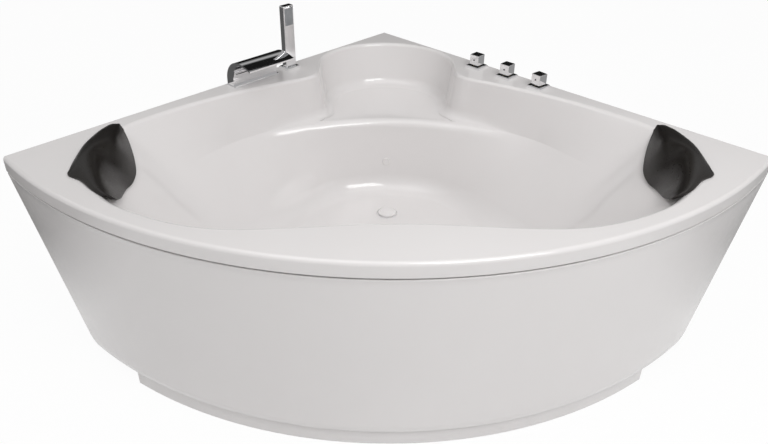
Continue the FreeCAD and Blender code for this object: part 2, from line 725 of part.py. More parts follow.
def make_board():
    """Stiffening board bonded under the basin's floor, with a hole round the waste."""
    board = box(-BOARD_HALF, BOARD_HALF, BOARD_BACK, BOARD_FRONT, BOARD_UNDER, FLOOR_UNDER)
    corners = edges_where(board, lambda c, e: abs(c.z - (BOARD_UNDER + FLOOR_UNDER) / 2) < 1e-3)
    board = board.makeFillet(BOARD_CORNER, corners)
    hole = rod(0, DRAIN_V, BOARD_UNDER - OVERCUT, FLOOR_UNDER + OVERCUT, LOCKNUT_RADIUS + 2 * TOUCH)
    keep("base_board", board.cut(hole))


def make_feet():
    """Six levelling feet: a threaded stud on a pad, each with its nut under the frame."""
    for name, (x, v) in foot_places().items():
        stud = rod(x, v, PAD_HEIGHT, BOARD_UNDER + STUD_TOP_RISE, STUD_RADIUS)
        keep("foot_" + name, stud)
        pad = rod(x, v, 0, PAD_HEIGHT, PAD_RADIUS)
        rim = edges_where(pad, lambda c, e: c.z > PAD_HEIGHT - 1e-3)
        keep("foot_" + name, pad.makeChamfer(PAD_HEIGHT / 3, rim))
        keep("foot_nuts", hexagon(x, v, TUBE_UNDER - NUT_HEIGHT, TUBE_UNDER, NUT_ACROSS,
                                  STUD_RADIUS + STUD_CLEAR))


# ---------------------------------------------------------------- waste and overflow

def make_waste():
    """Waste with its flange, plug, gasket, locknut, trap and outlet pipe."""
    top = FLOOR_TOP + WASTE_FLANGE_THICK
    foot = top - WASTE_LENGTH
    body = tube(0, DRAIN_V, foot, top, WASTE_RADIUS, WASTE_BORE)
    flange = tube(0, DRAIN_V, FLOOR_TOP, top, WASTE_FLANGE_RADIUS, WASTE_BORE)
    body = body.fuse(flange)
    guide_top = top - WASTE_LENGTH / 2
    guide = tube(0, DRAIN_V, guide_top - 2 * PLUG_STEM, guide_top, 2 * PLUG_STEM,
                 PLUG_STEM + PLUG_CLEAR)
    for turn in (0, 90):
        arm = box(-WASTE_BORE - OVERCUT, WASTE_BORE + OVERCUT, DRAIN_V - GUIDE_ARM / 2,
                  DRAIN_V + GUIDE_ARM / 2, guide_top - 2 * PLUG_STEM, guide_top)
        arm.rotate(at(0, DRAIN_V, 0), Vector(0, 0, 1), turn)
        guide = guide.fuse(arm.cut(rod(0, DRAIN_V, 0, RIM_HEIGHT, PLUG_STEM + PLUG_CLEAR)))
    keep("waste_body", body.fuse(guide).removeSplitter())
    keep("waste_gasket", tube(0, DRAIN_V, FLOOR_UNDER - GASKET_THICK, FLOOR_UNDER,
                              LOCKNUT_RADIUS, WASTE_RADIUS))
    nut_top = FLOOR_UNDER - GASKET_THICK
    keep("waste_locknut", tube(0, DRAIN_V, nut_top - LOCKNUT_HEIGHT, nut_top, LOCKNUT_RADIUS,
                               WASTE_RADIUS))
    make_plug(top, guide_top)
    make_trap(foot)


def make_plug(seat, guide_top):
    """Pop-up plug: a low crowned cap on a stem."""
    foot = seat + PLUG_LIFT_GAP
    edge = rod(0, DRAIN_V, foot, foot + PLUG_EDGE, PLUG_RADIUS)
    radius = (PLUG_RADIUS ** 2 + PLUG_CROWN ** 2) / (2 * PLUG_CROWN)
    ball = Part.makeSphere(radius, at(0, DRAIN_V, foot + PLUG_EDGE + PLUG_CROWN - radius))
    crown = ball.common(rod(0, DRAIN_V, foot + PLUG_EDGE, foot + 2 * PLUG_EDGE + PLUG_CROWN,
                            PLUG_RADIUS))
    stem = rod(0, DRAIN_V, guide_top - 4 * PLUG_STEM, foot, PLUG_STEM)
    keep("waste_plug", edge.fuse(crown).fuse(stem).removeSplitter())


def make_trap(top):
    """Low trap under the waste with its union nut, side inlet for the overflow and outlet."""
    bore = TRAP_RADIUS - TRAP_WALL
    cup = rod(0, DRAIN_V, TRAP_BOTTOM, top - UNION_HEIGHT / 2, TRAP_RADIUS)
    inlet_v = DRAIN_V + TRAP_RADIUS + HOSE_RADIUS
    socket = Part.makeCylinder(HOSE_RADIUS + TRAP_WALL, inlet_v - DRAIN_V,
                               at(0, DRAIN_V, HOSE_RUN_Z), Vector(0, -1, 0))
    socket_end = DRAIN_V - TRAP_RADIUS - OUTLET_RADIUS
    stub = pipe_back(DRAIN_V, socket_end, OUTLET_SPIGOT + TRAP_WALL)
    body = cup.fuse(socket).fuse(stub)
    hollow = rod(0, DRAIN_V, TRAP_BOTTOM + TRAP_WALL, top - UNION_HEIGHT / 2 - TRAP_WALL, bore)
    mouth = rod(0, DRAIN_V, top - UNION_HEIGHT, top, WASTE_RADIUS - TRAP_WALL)
    side_bore = Part.makeCylinder(HOSE_RADIUS - HOSE_WALL, inlet_v - DRAIN_V + OVERCUT,
                                  at(0, DRAIN_V, HOSE_RUN_Z), Vector(0, -1, 0))
    out_bore = pipe_back(DRAIN_V, socket_end - OVERCUT, OUTLET_SPIGOT)
    for cut in (hollow, mouth, side_bore, out_bore):
        body = body.cut(cut)
    keep("trap_body", body)
    keep("trap_union", tube(0, DRAIN_V, top - UNION_HEIGHT / 2, top + UNION_HEIGHT / 2,
                            UNION_RADIUS, WASTE_RADIUS))
    pipe_start = DRAIN_V - TRAP_RADIUS
    shoulder = socket_end - OUTLET_STEP
    pipe = pipe_back(shoulder, OUTLET_END_V, OUTLET_RADIUS).fuse(
        pipe_back(pipe_start, shoulder, OUTLET_SPIGOT))
    keep("outlet_pipe", pipe.cut(pipe_back(pipe_start, OUTLET_END_V, OUTLET_RADIUS - OUTLET_WALL)))


def pipe_back(start_v, end_v, radius):
    """A level cylinder of the outlet, from one plan place back to another."""
    return Part.makeCylinder(radius, start_v - end_v, at(0, start_v, OUTLET_Z), Vector(0, 1, 0))


def make_overflow():
    """Overflow on the front wall: turning rosette, seal, body behind the wall."""
    place = front_wall_place()
    low = OVERFLOW_KNOB_GAP
    high = low + OVERFLOW_KNOB_THICK
    knob = local_rod(low, high, OVERFLOW_KNOB_RADIUS)
    knob = knob.makeFillet(OVERFLOW_KNOB_THICK / 3,
                           edges_where(knob, lambda c, e: abs(c.z - high) < 1e-3))
    for k in range(OVERFLOW_GRIPS):
        turn = math.radians(360.0 * k / OVERFLOW_GRIPS)
        spot = Vector(OVERFLOW_KNOB_RADIUS * math.cos(turn), OVERFLOW_KNOB_RADIUS * math.sin(turn),
                      low - OVERCUT)
        knob = knob.cut(Part.makeCylinder(OVERFLOW_GRIP_RADIUS,
                                          OVERFLOW_KNOB_THICK + 2 * OVERCUT, spot))
    spindle = local_rod(OVERFLOW_SPINDLE_FOOT, low, OVERFLOW_SPINDLE)
    keep("overflow_knob", placed(knob.fuse(spindle), place))
    wall = -SHELL - TOUCH
    seal = local_rod(wall - GASKET_THICK, wall, OVERFLOW_BODY_RADIUS).cut(
        local_rod(wall - GASKET_THICK, wall, OVERFLOW_HOLE))
    keep("overflow_gasket", placed(seal, place))
    front = wall - GASKET_THICK
    back = front - OVERFLOW_BODY_LONG
    case = local_rod(back, front, OVERFLOW_BODY_RADIUS)
    case = case.cut(local_rod(back + TRAP_WALL, front, OVERFLOW_HOLE))
    boss = local_rod(back, front - HOSE_RADIUS, OVERFLOW_SPINDLE + TRAP_WALL)
    case = case.fuse(boss).cut(local_rod(back + TRAP_WALL, front, OVERFLOW_SPINDLE + PLUG_CLEAR))
    case = placed(case, place)
    drop_v, drop_z = overflow_drop()
    stub = rod(0, drop_v, drop_z, drop_z + OVERFLOW_BODY_RADIUS, HOSE_RADIUS)
    core = placed(local_rod(back + TRAP_WALL, front, OVERFLOW_BODY_RADIUS - TRAP_WALL), place)
    stub = stub.cut(core).cut(rod(0, drop_v, drop_z - OVERCUT, drop_z + OVERFLOW_BODY_RADIUS,
                                  HOSE_RADIUS - HOSE_WALL))
    keep("overflow_body", case.fuse(stub))


def overflow_drop():
    """Plan place and height at which the overflow's hose leaves its body."""
    place = front_wall_place()
    middle = -SHELL - GASKET_THICK - OVERFLOW_BODY_LONG / 2
    spot = place.multVec(Vector(0, 0, middle))
    return V_MID - spot.y, spot.z - OVERFLOW_BODY_RADIUS - HOSE_RADIUS / 2


def make_riser_cap():
    """Round blanking cap in the middle of the riser, with its stem and nut."""
    place = riser_place()
    cap = local_rod(TOUCH, RISER_CAP_THICK, RISER_CAP_RADIUS)
    cap = cap.makeFillet(RISER_CAP_THICK / 2,
                         edges_where(cap, lambda c, e: abs(c.z - RISER_CAP_THICK) < 1e-3))
    groove_foot = RISER_CAP_THICK - RISER_GROOVE
    groove_top = RISER_CAP_THICK + OVERCUT
    groove = local_rod(groove_foot, groove_top, RISER_STEM_RADIUS + RISER_GROOVE).cut(
        local_rod(groove_foot, groove_top, RISER_STEM_RADIUS - RISER_GROOVE))
    stem = local_rod(TOUCH - RISER_STEM_LONG, TOUCH, RISER_STEM_RADIUS)
    keep("riser_cap", placed(cap.cut(groove).fuse(stem), place))
    wall = -SHELL - TOUCH
    nut = local_rod(wall - RISER_NUT_HEIGHT, wall, RISER_CAP_RADIUS)
    keep("riser_cap_nut", placed(nut.cut(local_rod(wall - RISER_NUT_HEIGHT, wall,
                                                   RISER_STEM_RADIUS)), place))


# ---------------------------------------------------------------- hoses

def route_wire(points):
    """Straight runs joined by tangent arcs, each as large as its two runs allow."""
    edges = []
    length = 0.0
    radii = []
    start = points[0]
    for before, corner, after in zip(points, points[1:], points[2:]):
        into = corner.sub(before)
        away = after.sub(corner)
        turn = into.getAngle(away)
        trim = ARC_SHARE * min(into.Length, away.Length)
        radius = trim / math.tan(turn / 2)
        into.normalize()
        away.normalize()
        first = corner.sub(into * trim)
        last = corner.add(away * trim)
        toward = away.sub(into)
        toward.normalize()
        middle = corner.add(toward * (radius / math.cos(turn / 2) - radius))
        edges.append(Part.LineSegment(start, first).toShape())
        edges.append(Part.Arc(first, middle, last).toShape())
        length += start.distanceToPoint(first) + radius * turn
        radii.append(radius)
        start = last
    edges.append(Part.LineSegment(start, points[-1]).toShape())
    length += start.distanceToPoint(points[-1])
    return Part.Wire(edges), length, radii


def make_hose(name, points, radius, wall):
    """A hose held between two fittings, made along its whole route."""
    wire, length, radii = route_wire(points)
    heading = points[1].sub(points[0])

    def swept(size):
        ring = Part.Wire([Part.Circle(points[0], heading, size).toShape()])
        return wire.makePipeShell([ring], True, False)

    hose = swept(radius).cut(swept(radius - wall))
    section = math.pi * (radius ** 2 - (radius - wall) ** 2)
    print(name, "volume share %.4f" % (hose.Volume / (section * length)),
          "length %.0f" % length, "radii", " ".join("%.0f" % r for r in radii))
    keep(name, hose)


def make_hoses():
    """Overflow hose and the two supply hoses that cross under the corner seat."""
    drop_v, drop_z = overflow_drop()
    inlet_v = DRAIN_V + TRAP_RADIUS + HOSE_RADIUS
    route = [at(0, drop_v, drop_z), at(0, drop_v, drop_z - OVERFLOW_LEAD)]
    route += [at(x, v, z) for x, v, z in OVERFLOW_ROUTE]
    route += [at(0, inlet_v, HOSE_RUN_Z)]
    make_hose("overflow_hose", route, HOSE_RADIUS, HOSE_WALL)
    diverter = knob_place("diverter")
    stub_foot = -SHELL - VALVE_BODY_TOP - VALVE_BODY_HEIGHT - OUTLET_STUB_LONG
    spout_foot = SPOUT_PLACE.multVec(Vector(0, 0, -SPOUT_SHANK_LONG))
    shower_foot = SHOWER_PLACE.multVec(Vector(0, 0, -HOLDER_SHANK_LONG - OUTLET_STUB_LONG))
    for name, shift, middle, end in (
            ("spout_hose", OUTLET_STUB_SHIFT, SPOUT_ROUTE, spout_foot),
            ("shower_feed_hose", -OUTLET_STUB_SHIFT, SHOWER_ROUTE, shower_foot)):
        start = diverter.multVec(Vector(shift, 0, stub_foot))
        first = start.sub(Vector(0, 0, ROUTE_LEAD))
        last = end.sub(Vector(0, 0, ROUTE_LEAD))
        route = [start, first] + [at(x, v, z) for x, v, z in middle] + [last, end]
        make_hose(name, route, SUPPLY_RADIUS, HOSE_WALL)


# ---------------------------------------------------------------- deck fittings

def make_plate(long, wide, thick, bevel):
    """A flat deck plate with a bevelled top edge, standing on the deck in a local frame."""
    plate = local_box(-long / 2, long / 2, -wide / 2, wide / 2, 0, thick)
    top = edges_where(plate, lambda c, e: abs(c.z - thick) < 1e-3)
    return plate.makeChamfer(bevel, top)


def make_valve(name):
    """One deck valve: plate, cube knob with its index dot, spindle, body, gasket and nut."""
    place = knob_place(name)
    turned = place.multiply(FreeCAD.Placement(Vector(), FreeCAD.Rotation(
        Vector(0, 0, 1), KNOB_TURN[name])))
    plate = make_plate(PLATE_SIDE, PLATE_SIDE, PLATE_THICK, PLATE_BEVEL)
    keep("valve_plate_" + name, placed(plate.cut(local_rod(-OVERCUT, PLATE_THICK + OVERCUT,
                                                           SHANK_RADIUS)),
                                       place))
    low = PLATE_THICK + CUBE_RAISE
    high = low + CUBE_HEIGHT
    half = CUBE_SIDE / 2
    cube = local_box(-half, half, -half, half, low, high)
    cube = cube.makeFillet(CUBE_EDGE, cube.Edges)
    cube = cube.cut(local_rod(low, low + SPINDLE_BITE, SPINDLE_RADIUS))
    dot_z = low + DOT_SHARE * CUBE_HEIGHT
    dot_face = half - DOT_DEPTH
    pocket = Part.makeCylinder(DOT_RADIUS, 2 * DOT_DEPTH, Vector(0, dot_face, dot_z),
                               Vector(0, 1, 0))
    keep("knob_" + name, placed(cube.cut(pocket), turned))
    dot = Part.makeCylinder(DOT_RADIUS, DOT_DEPTH + DOT_PROUD, Vector(0, dot_face, dot_z),
                            Vector(0, 1, 0))
    keep("index_dot_" + name, placed(dot, turned))
    body_top = -SHELL - VALVE_BODY_TOP
    body_foot = body_top - VALVE_BODY_HEIGHT
    spindle_foot = body_top - VALVE_BODY_HEIGHT / 2
    spindle = local_rod(spindle_foot, low + SPINDLE_BITE, SPINDLE_RADIUS)
    collar = local_rod(PLATE_THICK + TOUCH, low, COLLAR_RADIUS)
    keep("spindle_" + name, placed(spindle.fuse(collar).removeSplitter(), turned))
    side = VALVE_BODY_SIDE / 2
    body = local_box(-side, side, -side, side, body_foot, body_top)
    body = body.fuse(local_rod(body_top, PLATE_THICK - TOUCH, SHANK_RADIUS))
    if name == "diverter":
        for shift in (-OUTLET_STUB_SHIFT, OUTLET_STUB_SHIFT):
            body = body.fuse(Part.makeCylinder(SUPPLY_RADIUS, OUTLET_STUB_LONG,
                                               Vector(shift, 0, body_foot - OUTLET_STUB_LONG)))
    else:
        body = body.fuse(local_rod(body_foot - INLET_LONG, body_foot, INLET_RADIUS))
        body = body.cut(local_rod(body_foot - INLET_LONG - OVERCUT, body_foot + TRAP_WALL,
                                  LINK_RADIUS))
    bore = local_rod(spindle_foot - TOUCH, PLATE_THICK, SPINDLE_RADIUS + SPINDLE_CLEAR)
    keep("valve_body_" + name, placed(body.cut(bore).removeSplitter(), place))
    seal_foot = -SHELL - GASKET_THICK
    ring = local_rod(seal_foot, -SHELL, SHANK_RADIUS + 2 * GASKET_THICK)
    keep("deck_gaskets", placed(ring.cut(local_rod(seal_foot, -SHELL, SHANK_RADIUS)), place))
    nut = local_hexagon(seal_foot - NUT_HEIGHT, seal_foot, DECK_NUT_ACROSS, SHANK_RADIUS)
    keep("deck_nuts", placed(nut, place))


def local_hexagon(z0, z1, across, bore):
    """A hexagon nut on the Z axis of a local frame."""
    return hexagon(0, V_MID, z0, z1, across, bore)


def make_links():
    """Short pipes that join the three valve bodies along the wall."""
    stations = sorted(KNOB_STATIONS.values())
    z = -SHELL - VALVE_BODY_TOP - LINK_DROP
    for first, last in zip(stations, stations[1:]):
        place = wall_place(1, (first + last) / 2, KNOB_SETBACK)
        long = last - first - VALVE_BODY_SIDE
        start = Vector(-long / 2, 0, z)
        pipe = Part.makeCylinder(LINK_RADIUS, long, start, Vector(1, 0, 0))
        core = Part.makeCylinder(LINK_RADIUS - TUBE_WALL, long, start, Vector(1, 0, 0))
        keep("link_pipes", placed(pipe.cut(core), place))


def make_spout():
    """Waterfall spout: base plate, hood with its outlet strip, shank, gasket and nut."""
    plate = make_plate(SPOUT_LONG, SPOUT_PLATE_WIDE, SPOUT_PLATE_THICK, PLATE_BEVEL)
    keep("spout_plate", placed(plate.cut(local_rod(-OVERCUT, SPOUT_PLATE_THICK + OVERCUT,
                                                 SPOUT_SHANK_RADIUS)),
                               SPOUT_PLACE))
    make_hood()
    shank = local_rod(-SPOUT_SHANK_LONG, SPOUT_PLATE_THICK, SPOUT_SHANK_RADIUS)
    keep("spout_shank", placed(shank.cut(local_rod(-SPOUT_SHANK_LONG, SPOUT_PLATE_THICK,
                                                   SUPPLY_RADIUS)), SPOUT_PLACE))
    under_deck(SPOUT_PLACE, SPOUT_SHANK_RADIUS)


def level_arc(start, reach, drop):
    """Three points of an arc that leaves its start level and has fallen after a reach."""
    radius = (reach ** 2 + drop ** 2) / (2 * drop)
    turn = math.asin(reach / radius) / 2
    middle = start + Vector(0, radius * math.sin(turn), radius * (math.cos(turn) - 1))
    return [start, middle, start + Vector(0, reach, -drop)]


def make_hood():
    """The spout's hood, from a thick foot over to a thin lip, with its water way and strip."""
    half = SPOUT_LONG / 2 - PLATE_BEVEL
    back = PLATE_BEVEL - SPOUT_PLATE_WIDE / 2
    front = back + HOOD_FOOT
    crest = Vector(-half, back + HOOD_TURN, HOOD_SHOULDER + HOOD_TURN)
    outer = level_arc(crest, HOOD_REACH, HOOD_DROP)
    under = level_arc(crest - Vector(0, 0, HOOD_CROWN), HOOD_REACH,
                      HOOD_DROP - HOOD_CROWN + HOOD_LIP)
    shoulder = Vector(-half, back, HOOD_SHOULDER)
    slant = HOOD_TURN * math.sin(math.radians(45.0))
    turning = Vector(-half, crest.y - slant, HOOD_SHOULDER + slant)
    inner_foot = Vector(-half, front, HOOD_SHOULDER)
    chord = under[0] - inner_foot
    square = Vector(0, -chord.z, chord.y).normalize()
    inner_middle = (under[0] + inner_foot) * 0.5 + square * HOOD_BULGE
    inner = Part.Arc(under[0], inner_middle, inner_foot).toShape()
    bend = inner.Curve
    low_back = Vector(-half, back, SPOUT_PLATE_THICK)
    low_front = Vector(-half, front, SPOUT_PLATE_THICK)
    wire = Part.Wire([
        Part.makeLine(low_back, shoulder), Part.Arc(shoulder, turning, crest).toShape(),
        Part.Arc(*outer).toShape(), Part.makeLine(outer[2], under[2]),
        Part.Arc(*reversed(under)).toShape(), inner,
        Part.makeLine(inner_foot, low_front), Part.makeLine(low_front, low_back)])
    run = half - MANIFOLD_END
    along = Vector(1, 0, 0)
    manifold = Part.makeCylinder(MANIFOLD_RADIUS, 2 * run, Vector(-run, 0, MANIFOLD_Z), along)
    riser = local_rod(SPOUT_PLATE_THICK - OVERCUT, MANIFOLD_Z, SUPPLY_RADIUS)
    slot = local_box(-run, run, 0, bend.Center.y, MANIFOLD_Z - SLOT_TALL / 2,
                     MANIFOLD_Z + SLOT_TALL / 2)
    hood = Part.Face(wire).extrude(along * (2 * half)).cut(manifold).cut(riser).cut(slot)
    keep("spout_hood", placed(hood, SPOUT_PLACE))
    middle = Vector(-half, bend.Center.y, bend.Center.z)
    strip = Part.makeCylinder(bend.Radius, 2 * half, middle, along).cut(
        Part.makeCylinder(bend.Radius - STRIP_THICK, 2 * half, middle, along))
    strip = strip.common(local_box(-half, half, back, middle.y, MANIFOLD_Z - STRIP_TALL / 2,
                                   MANIFOLD_Z + STRIP_TALL / 2))
    keep("spout_outlet", placed(strip.cut(slot), SPOUT_PLACE))


def under_deck(place, radius):
    """Gasket and nut that clamp a shank under the deck."""
    foot = -SHELL - GASKET_THICK
    ring = local_rod(foot, -SHELL, radius + 2 * GASKET_THICK).cut(local_rod(foot, -SHELL, radius))
    keep("deck_gaskets", placed(ring, place))
    keep("deck_nuts", placed(local_hexagon(foot - NUT_HEIGHT, foot, 2 * radius + NUT_LAND, radius),
                             place))


def make_shower():
    """Hand shower standing in its deck holder, with its spray face."""
    plate = make_plate(HOLDER_LONG, HOLDER_WIDE, HOLDER_THICK, PLATE_BEVEL)
    foot = -HOLDER_SHANK_LONG
    sleeve = local_rod(foot, HOLDER_THICK / 2, HOLDER_SHANK)
    elbow = local_rod(foot - OUTLET_STUB_LONG, foot + TRAP_WALL, SUPPLY_RADIUS)
    holder = plate.fuse(sleeve).cut(local_rod(foot + TRAP_WALL, HOLDER_THICK + OVERCUT,
                                                   HOLDER_BORE))
    keep("shower_holder", placed(holder.fuse(elbow), SHOWER_PLACE))
    under_deck(SHOWER_PLACE, HOLDER_SHANK)
    half_x, half_y = HANDSET_WIDE / 2, HANDSET_DEEP / 2
    low = HOLDER_THICK + TOUCH
    bar = local_box(-half_x, half_x, -half_y, half_y, low, HANDSET_TOP)
    bar = bar.makeFillet(HANDSET_EDGE, bar.Edges)
    spray_top = HANDSET_TOP - SPRAY_FROM_TOP
    pocket = local_box(-SPRAY_WIDE / 2, SPRAY_WIDE / 2, half_y - SPRAY_THICK, half_y + OVERCUT,
                       spray_top - SPRAY_TALL, spray_top)
    stub = local_rod(low - STUB_LONG, low + HANDSET_EDGE, STUB_RADIUS)
    keep("handset", placed(bar.cut(pocket).fuse(stub), SHOWER_PLACE))
    spray = local_box(-SPRAY_WIDE / 2, SPRAY_WIDE / 2, half_y - SPRAY_THICK, half_y - TOUCH,
                      spray_top - SPRAY_TALL, spray_top)
    for column in range(NOZZLE_COLUMNS):
        for row in range(NOZZLE_ROWS):
            x = SPRAY_WIDE * ((column + 0.5) / NOZZLE_COLUMNS - 0.5)
            z = spray_top - SPRAY_TALL * (row + 0.5) / NOZZLE_ROWS
            spray = spray.fuse(Part.makeCylinder(NOZZLE_RADIUS, NOZZLE_PROUD + TOUCH,
                                                 Vector(x, half_y - TOUCH, z), Vector(0, 1, 0)))
    keep("spray_face", placed(spray, SHOWER_PLACE))


# ---------------------------------------------------------------- wall brackets

def make_brackets():
    """Steel angles that carry the rim's flange along both walls."""
    top = -LIP_HEIGHT
    for side in (-1, 1):
        for station in BRACKET_STATIONS:
            place = wall_place(side, station, 0.0)
            half = BRACKET_WIDE / 2
            leg = local_box(-half, half, 0, BRACKET_THICK, top - BRACKET_DROP, top)
            shelf = local_box(-half, half, 0, BRACKET_SHELF, top - BRACKET_THICK, top)
            bracket = leg.fuse(shelf).removeSplitter()
            for x in (-BRACKET_WIDE / 4, BRACKET_WIDE / 4):
                bracket = bracket.cut(Part.makeCylinder(
                    BRACKET_HOLE, 3 * BRACKET_THICK,
                    Vector(x, -BRACKET_THICK, top - BRACKET_DROP / 2), Vector(0, 1, 0)))
            keep("wall_brackets", placed(bracket, place))


# ---------------------------------------------------------------- pillows

def pillow_section(share):
    """Cross-section of a pillow: over the deck, round the rim's edge and down the backrest."""
    x, v = pillow_point(share)
    out_x, out_v = pillow_outward(share)
    along = PILLOW_TAPER + (1 - 2 * PILLOW_TAPER) * share
    top = math.sin(math.pi * along ** PILLOW_TOP_SKEW) ** PILLOW_ROUND
    hang = math.sin(math.pi * along ** PILLOW_FACE_SKEW) ** PILLOW_ROUND

    def spot(out, up):
        return at(x + out * out_x, v + out * out_v, RIM_HEIGHT + up)

    deck_end = spot(PILLOW_REACH_OUT * top, -SHELL)
    crown = spot(-PILLOW_CROWN_IN * top, PILLOW_THICK * PILLOW_CROWN_SHARE * top)
    brow = spot(-PILLOW_BROW_IN * hang, PILLOW_BROW_DOWN * top)
    face = spot(-PILLOW_FACE_IN * hang, PILLOW_FACE_DOWN * hang)
    low_end = spot(-PILLOW_REACH_DOWN * PILLOW_SLOPE * hang, -PILLOW_REACH_DOWN * hang)
    behind = spot(PILLOW_BACK_OUT * top, -PILLOW_BACK_DOWN * hang)
    return Part.Wire([Part.Arc(deck_end, crown, brow).toShape(),
                      Part.Arc(brow, face, low_end).toShape(),
                      Part.makeLine(low_end, behind), Part.makeLine(behind, deck_end)])


def make_pillows():
    """Two head pillows draped over the basin's ends, each on two pegs."""
    sections = [pillow_section(k / (PILLOW_SECTIONS - 1)) for k in range(PILLOW_SECTIONS)]
    body = Part.makeLoft(sections, True, False)
    above = box(0, HALF_SPAN, 0, FRONT_REACH, RIM_HEIGHT + TOUCH, RIM_HEIGHT + 2 * PILLOW_THICK)
    room = above.fuse(basin_solid(-TOUCH, -PILLOW_THICK))
    pillow = body.common(room)
    for x, v in peg_places():
        top = RIM_HEIGHT + PEG_BITE
        if x > 0:
            pillow = pillow.cut(rod(x, v, RIM_HEIGHT, top + TOUCH, PEG_RADIUS + TOUCH))
        peg = rod(x, v, DECK_UNDER - PEG_TAIL, top, PEG_RADIUS)
        keep("pillow_pegs", peg)
        keep("peg_washers", tube(x, v, DECK_UNDER - PEG_WASHER, DECK_UNDER, PEG_HEAD_RADIUS,
                                 PEG_RADIUS))
    keep("pillow_right", pillow)
    keep("pillow_left", pillow.mirror(Vector(), Vector(1, 0, 0)))


def build():
    """Makes every sub-part and writes one file for each node."""
    make_shell()
    make_skirt()
    make_plinth()
    make_skirt_clips()
    make_board()
    make_frame()
    make_feet()
    make_waste()
    make_overflow()
    make_riser_cap()
    for name in KNOB_STATIONS:
        make_valve(name)
    make_links()
    make_spout()
    make_shower()
    make_hoses()
    make_brackets()
    make_pillows()
    os.makedirs("parts", exist_ok=True)
    for name, solids in NODES.items():
        shape = solids[0] if len(solids) == 1 else Part.makeCompound(solids)
        shape.exportStep("parts/" + name + ".step")
    print(len(NODES), "nodes written")


build()
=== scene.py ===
"""Looks of the corner bathtub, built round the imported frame. Metres, +Z up, back corner at +Y.

Plan places are (x, v): x to the right and v from the back corner towards the front. Depths are
measured down from the rim. Outlines and sizes repeat those of the part.
"""

import math

import bmesh
import bpy
import numpy as np
from mathutils import Matrix, Vector


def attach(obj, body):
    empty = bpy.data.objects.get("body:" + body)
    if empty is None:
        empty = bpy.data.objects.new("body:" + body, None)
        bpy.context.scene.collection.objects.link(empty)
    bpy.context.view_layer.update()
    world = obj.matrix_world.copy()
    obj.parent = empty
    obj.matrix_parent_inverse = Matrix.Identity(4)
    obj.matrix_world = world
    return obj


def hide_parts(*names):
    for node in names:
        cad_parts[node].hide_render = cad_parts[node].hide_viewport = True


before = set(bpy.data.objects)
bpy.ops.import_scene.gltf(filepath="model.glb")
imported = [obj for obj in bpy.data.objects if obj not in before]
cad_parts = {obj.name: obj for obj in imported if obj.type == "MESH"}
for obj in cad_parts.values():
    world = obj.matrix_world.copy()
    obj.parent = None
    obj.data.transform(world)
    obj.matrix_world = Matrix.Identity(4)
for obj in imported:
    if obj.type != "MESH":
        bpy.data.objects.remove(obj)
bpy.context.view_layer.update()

MM = 0.001
ROOT2 = math.sqrt(2.0)

# ---- the part's sizes, in millimetres ----
SIDE = 1500.0
FRONT_REACH = 1560.0
RIM_HEIGHT = 600.0
SHELL = 5.0
LIP_HEIGHT = 42.0
LIP_ROLL = 11.0
LIP_CORNER = 6.0
OPENING_ROLL = 10.0
SEAT_DEPTH = 150.0
BASIN_DEPTH = 420.0
SEAT_FILLET = 30.0
EDGE_FILLET = 26.0
FLOOR_FILLET = 60.0
SEAT_FALL = 2.0
DRAIN_V = 679.0
DRAIN_HOLE = 25.5
RIM_OUTLINE = [
    (0, 129, 0), (235, 340, 90), (237, 425, 88), (300, 497, 27), (471, 595, 33), (768, 850, 50),
    (800, 985, 92), (697, 1303, 145), (385, 1416, 180), (0, 1393, 180)]
PAN_OUTLINE = [(0, 171, 0), (214, 350, 90), (216, 428, 86), (296, 505, 30), (450, 621, 36)]
LEDGE_OUTLINE = [(0, 494, 0), (140, 505, 9), (215, 520, 16), (278, 541, 22), (450, 621, 36)]
FLOOR_OUTLINE = [
    (0, 505, 0), (140, 529, 22), (215, 573, 38), (262, 620, 48), (345, 750, 62), (415, 880, 70),
    (455, 1020, 92), (390, 1215, 130), (235, 1318, 172), (0, 1320, 180)]
FILLET_SHARES = [1.0, 1.0, 1.0, 0.55, 0.0]   # the seat's two folds fade out along its ledge
SEAT_STATIONS = len(PAN_OUTLINE)
KNOTS = 5                      # interpolated points on each stretch of an outline
FINE = 5                       # mesh steps between them
ROUND_STEPS = 10               # mesh steps in each rounded edge
OUTER_STEPS = 4                # the same on the hidden outer skin
PAN_ROWS = 4                   # mesh rows down the seat's wall
WALL_ROWS = 5                  # mesh rows down the basin's wall
ARC_STEPS = 220                # mesh steps along the rim's front arc
WALL_STEPS = 60                # along each straight side
CORNER_STEPS = 6               # round each end corner
RING_POINTS = 64               # round the drain
HALF_SPAN = SIDE / ROOT2
RIM_SAG = FRONT_REACH - HALF_SPAN
RIM_RADIUS = (HALF_SPAN ** 2 + RIM_SAG ** 2) / (2.0 * RIM_SAG)
RIM_CENTRE = FRONT_REACH - RIM_RADIUS
V_MID = FRONT_REACH / 2.0
WALL_BEVEL = 2.5               # the shell's edge along the walls
LIP_EDGE = 1.0                 # the break along the lip's lower edge
CORNER_EASE = 1.08             # keeps the rounded end corners inside the part's
LEAST_CORNER = 1.0

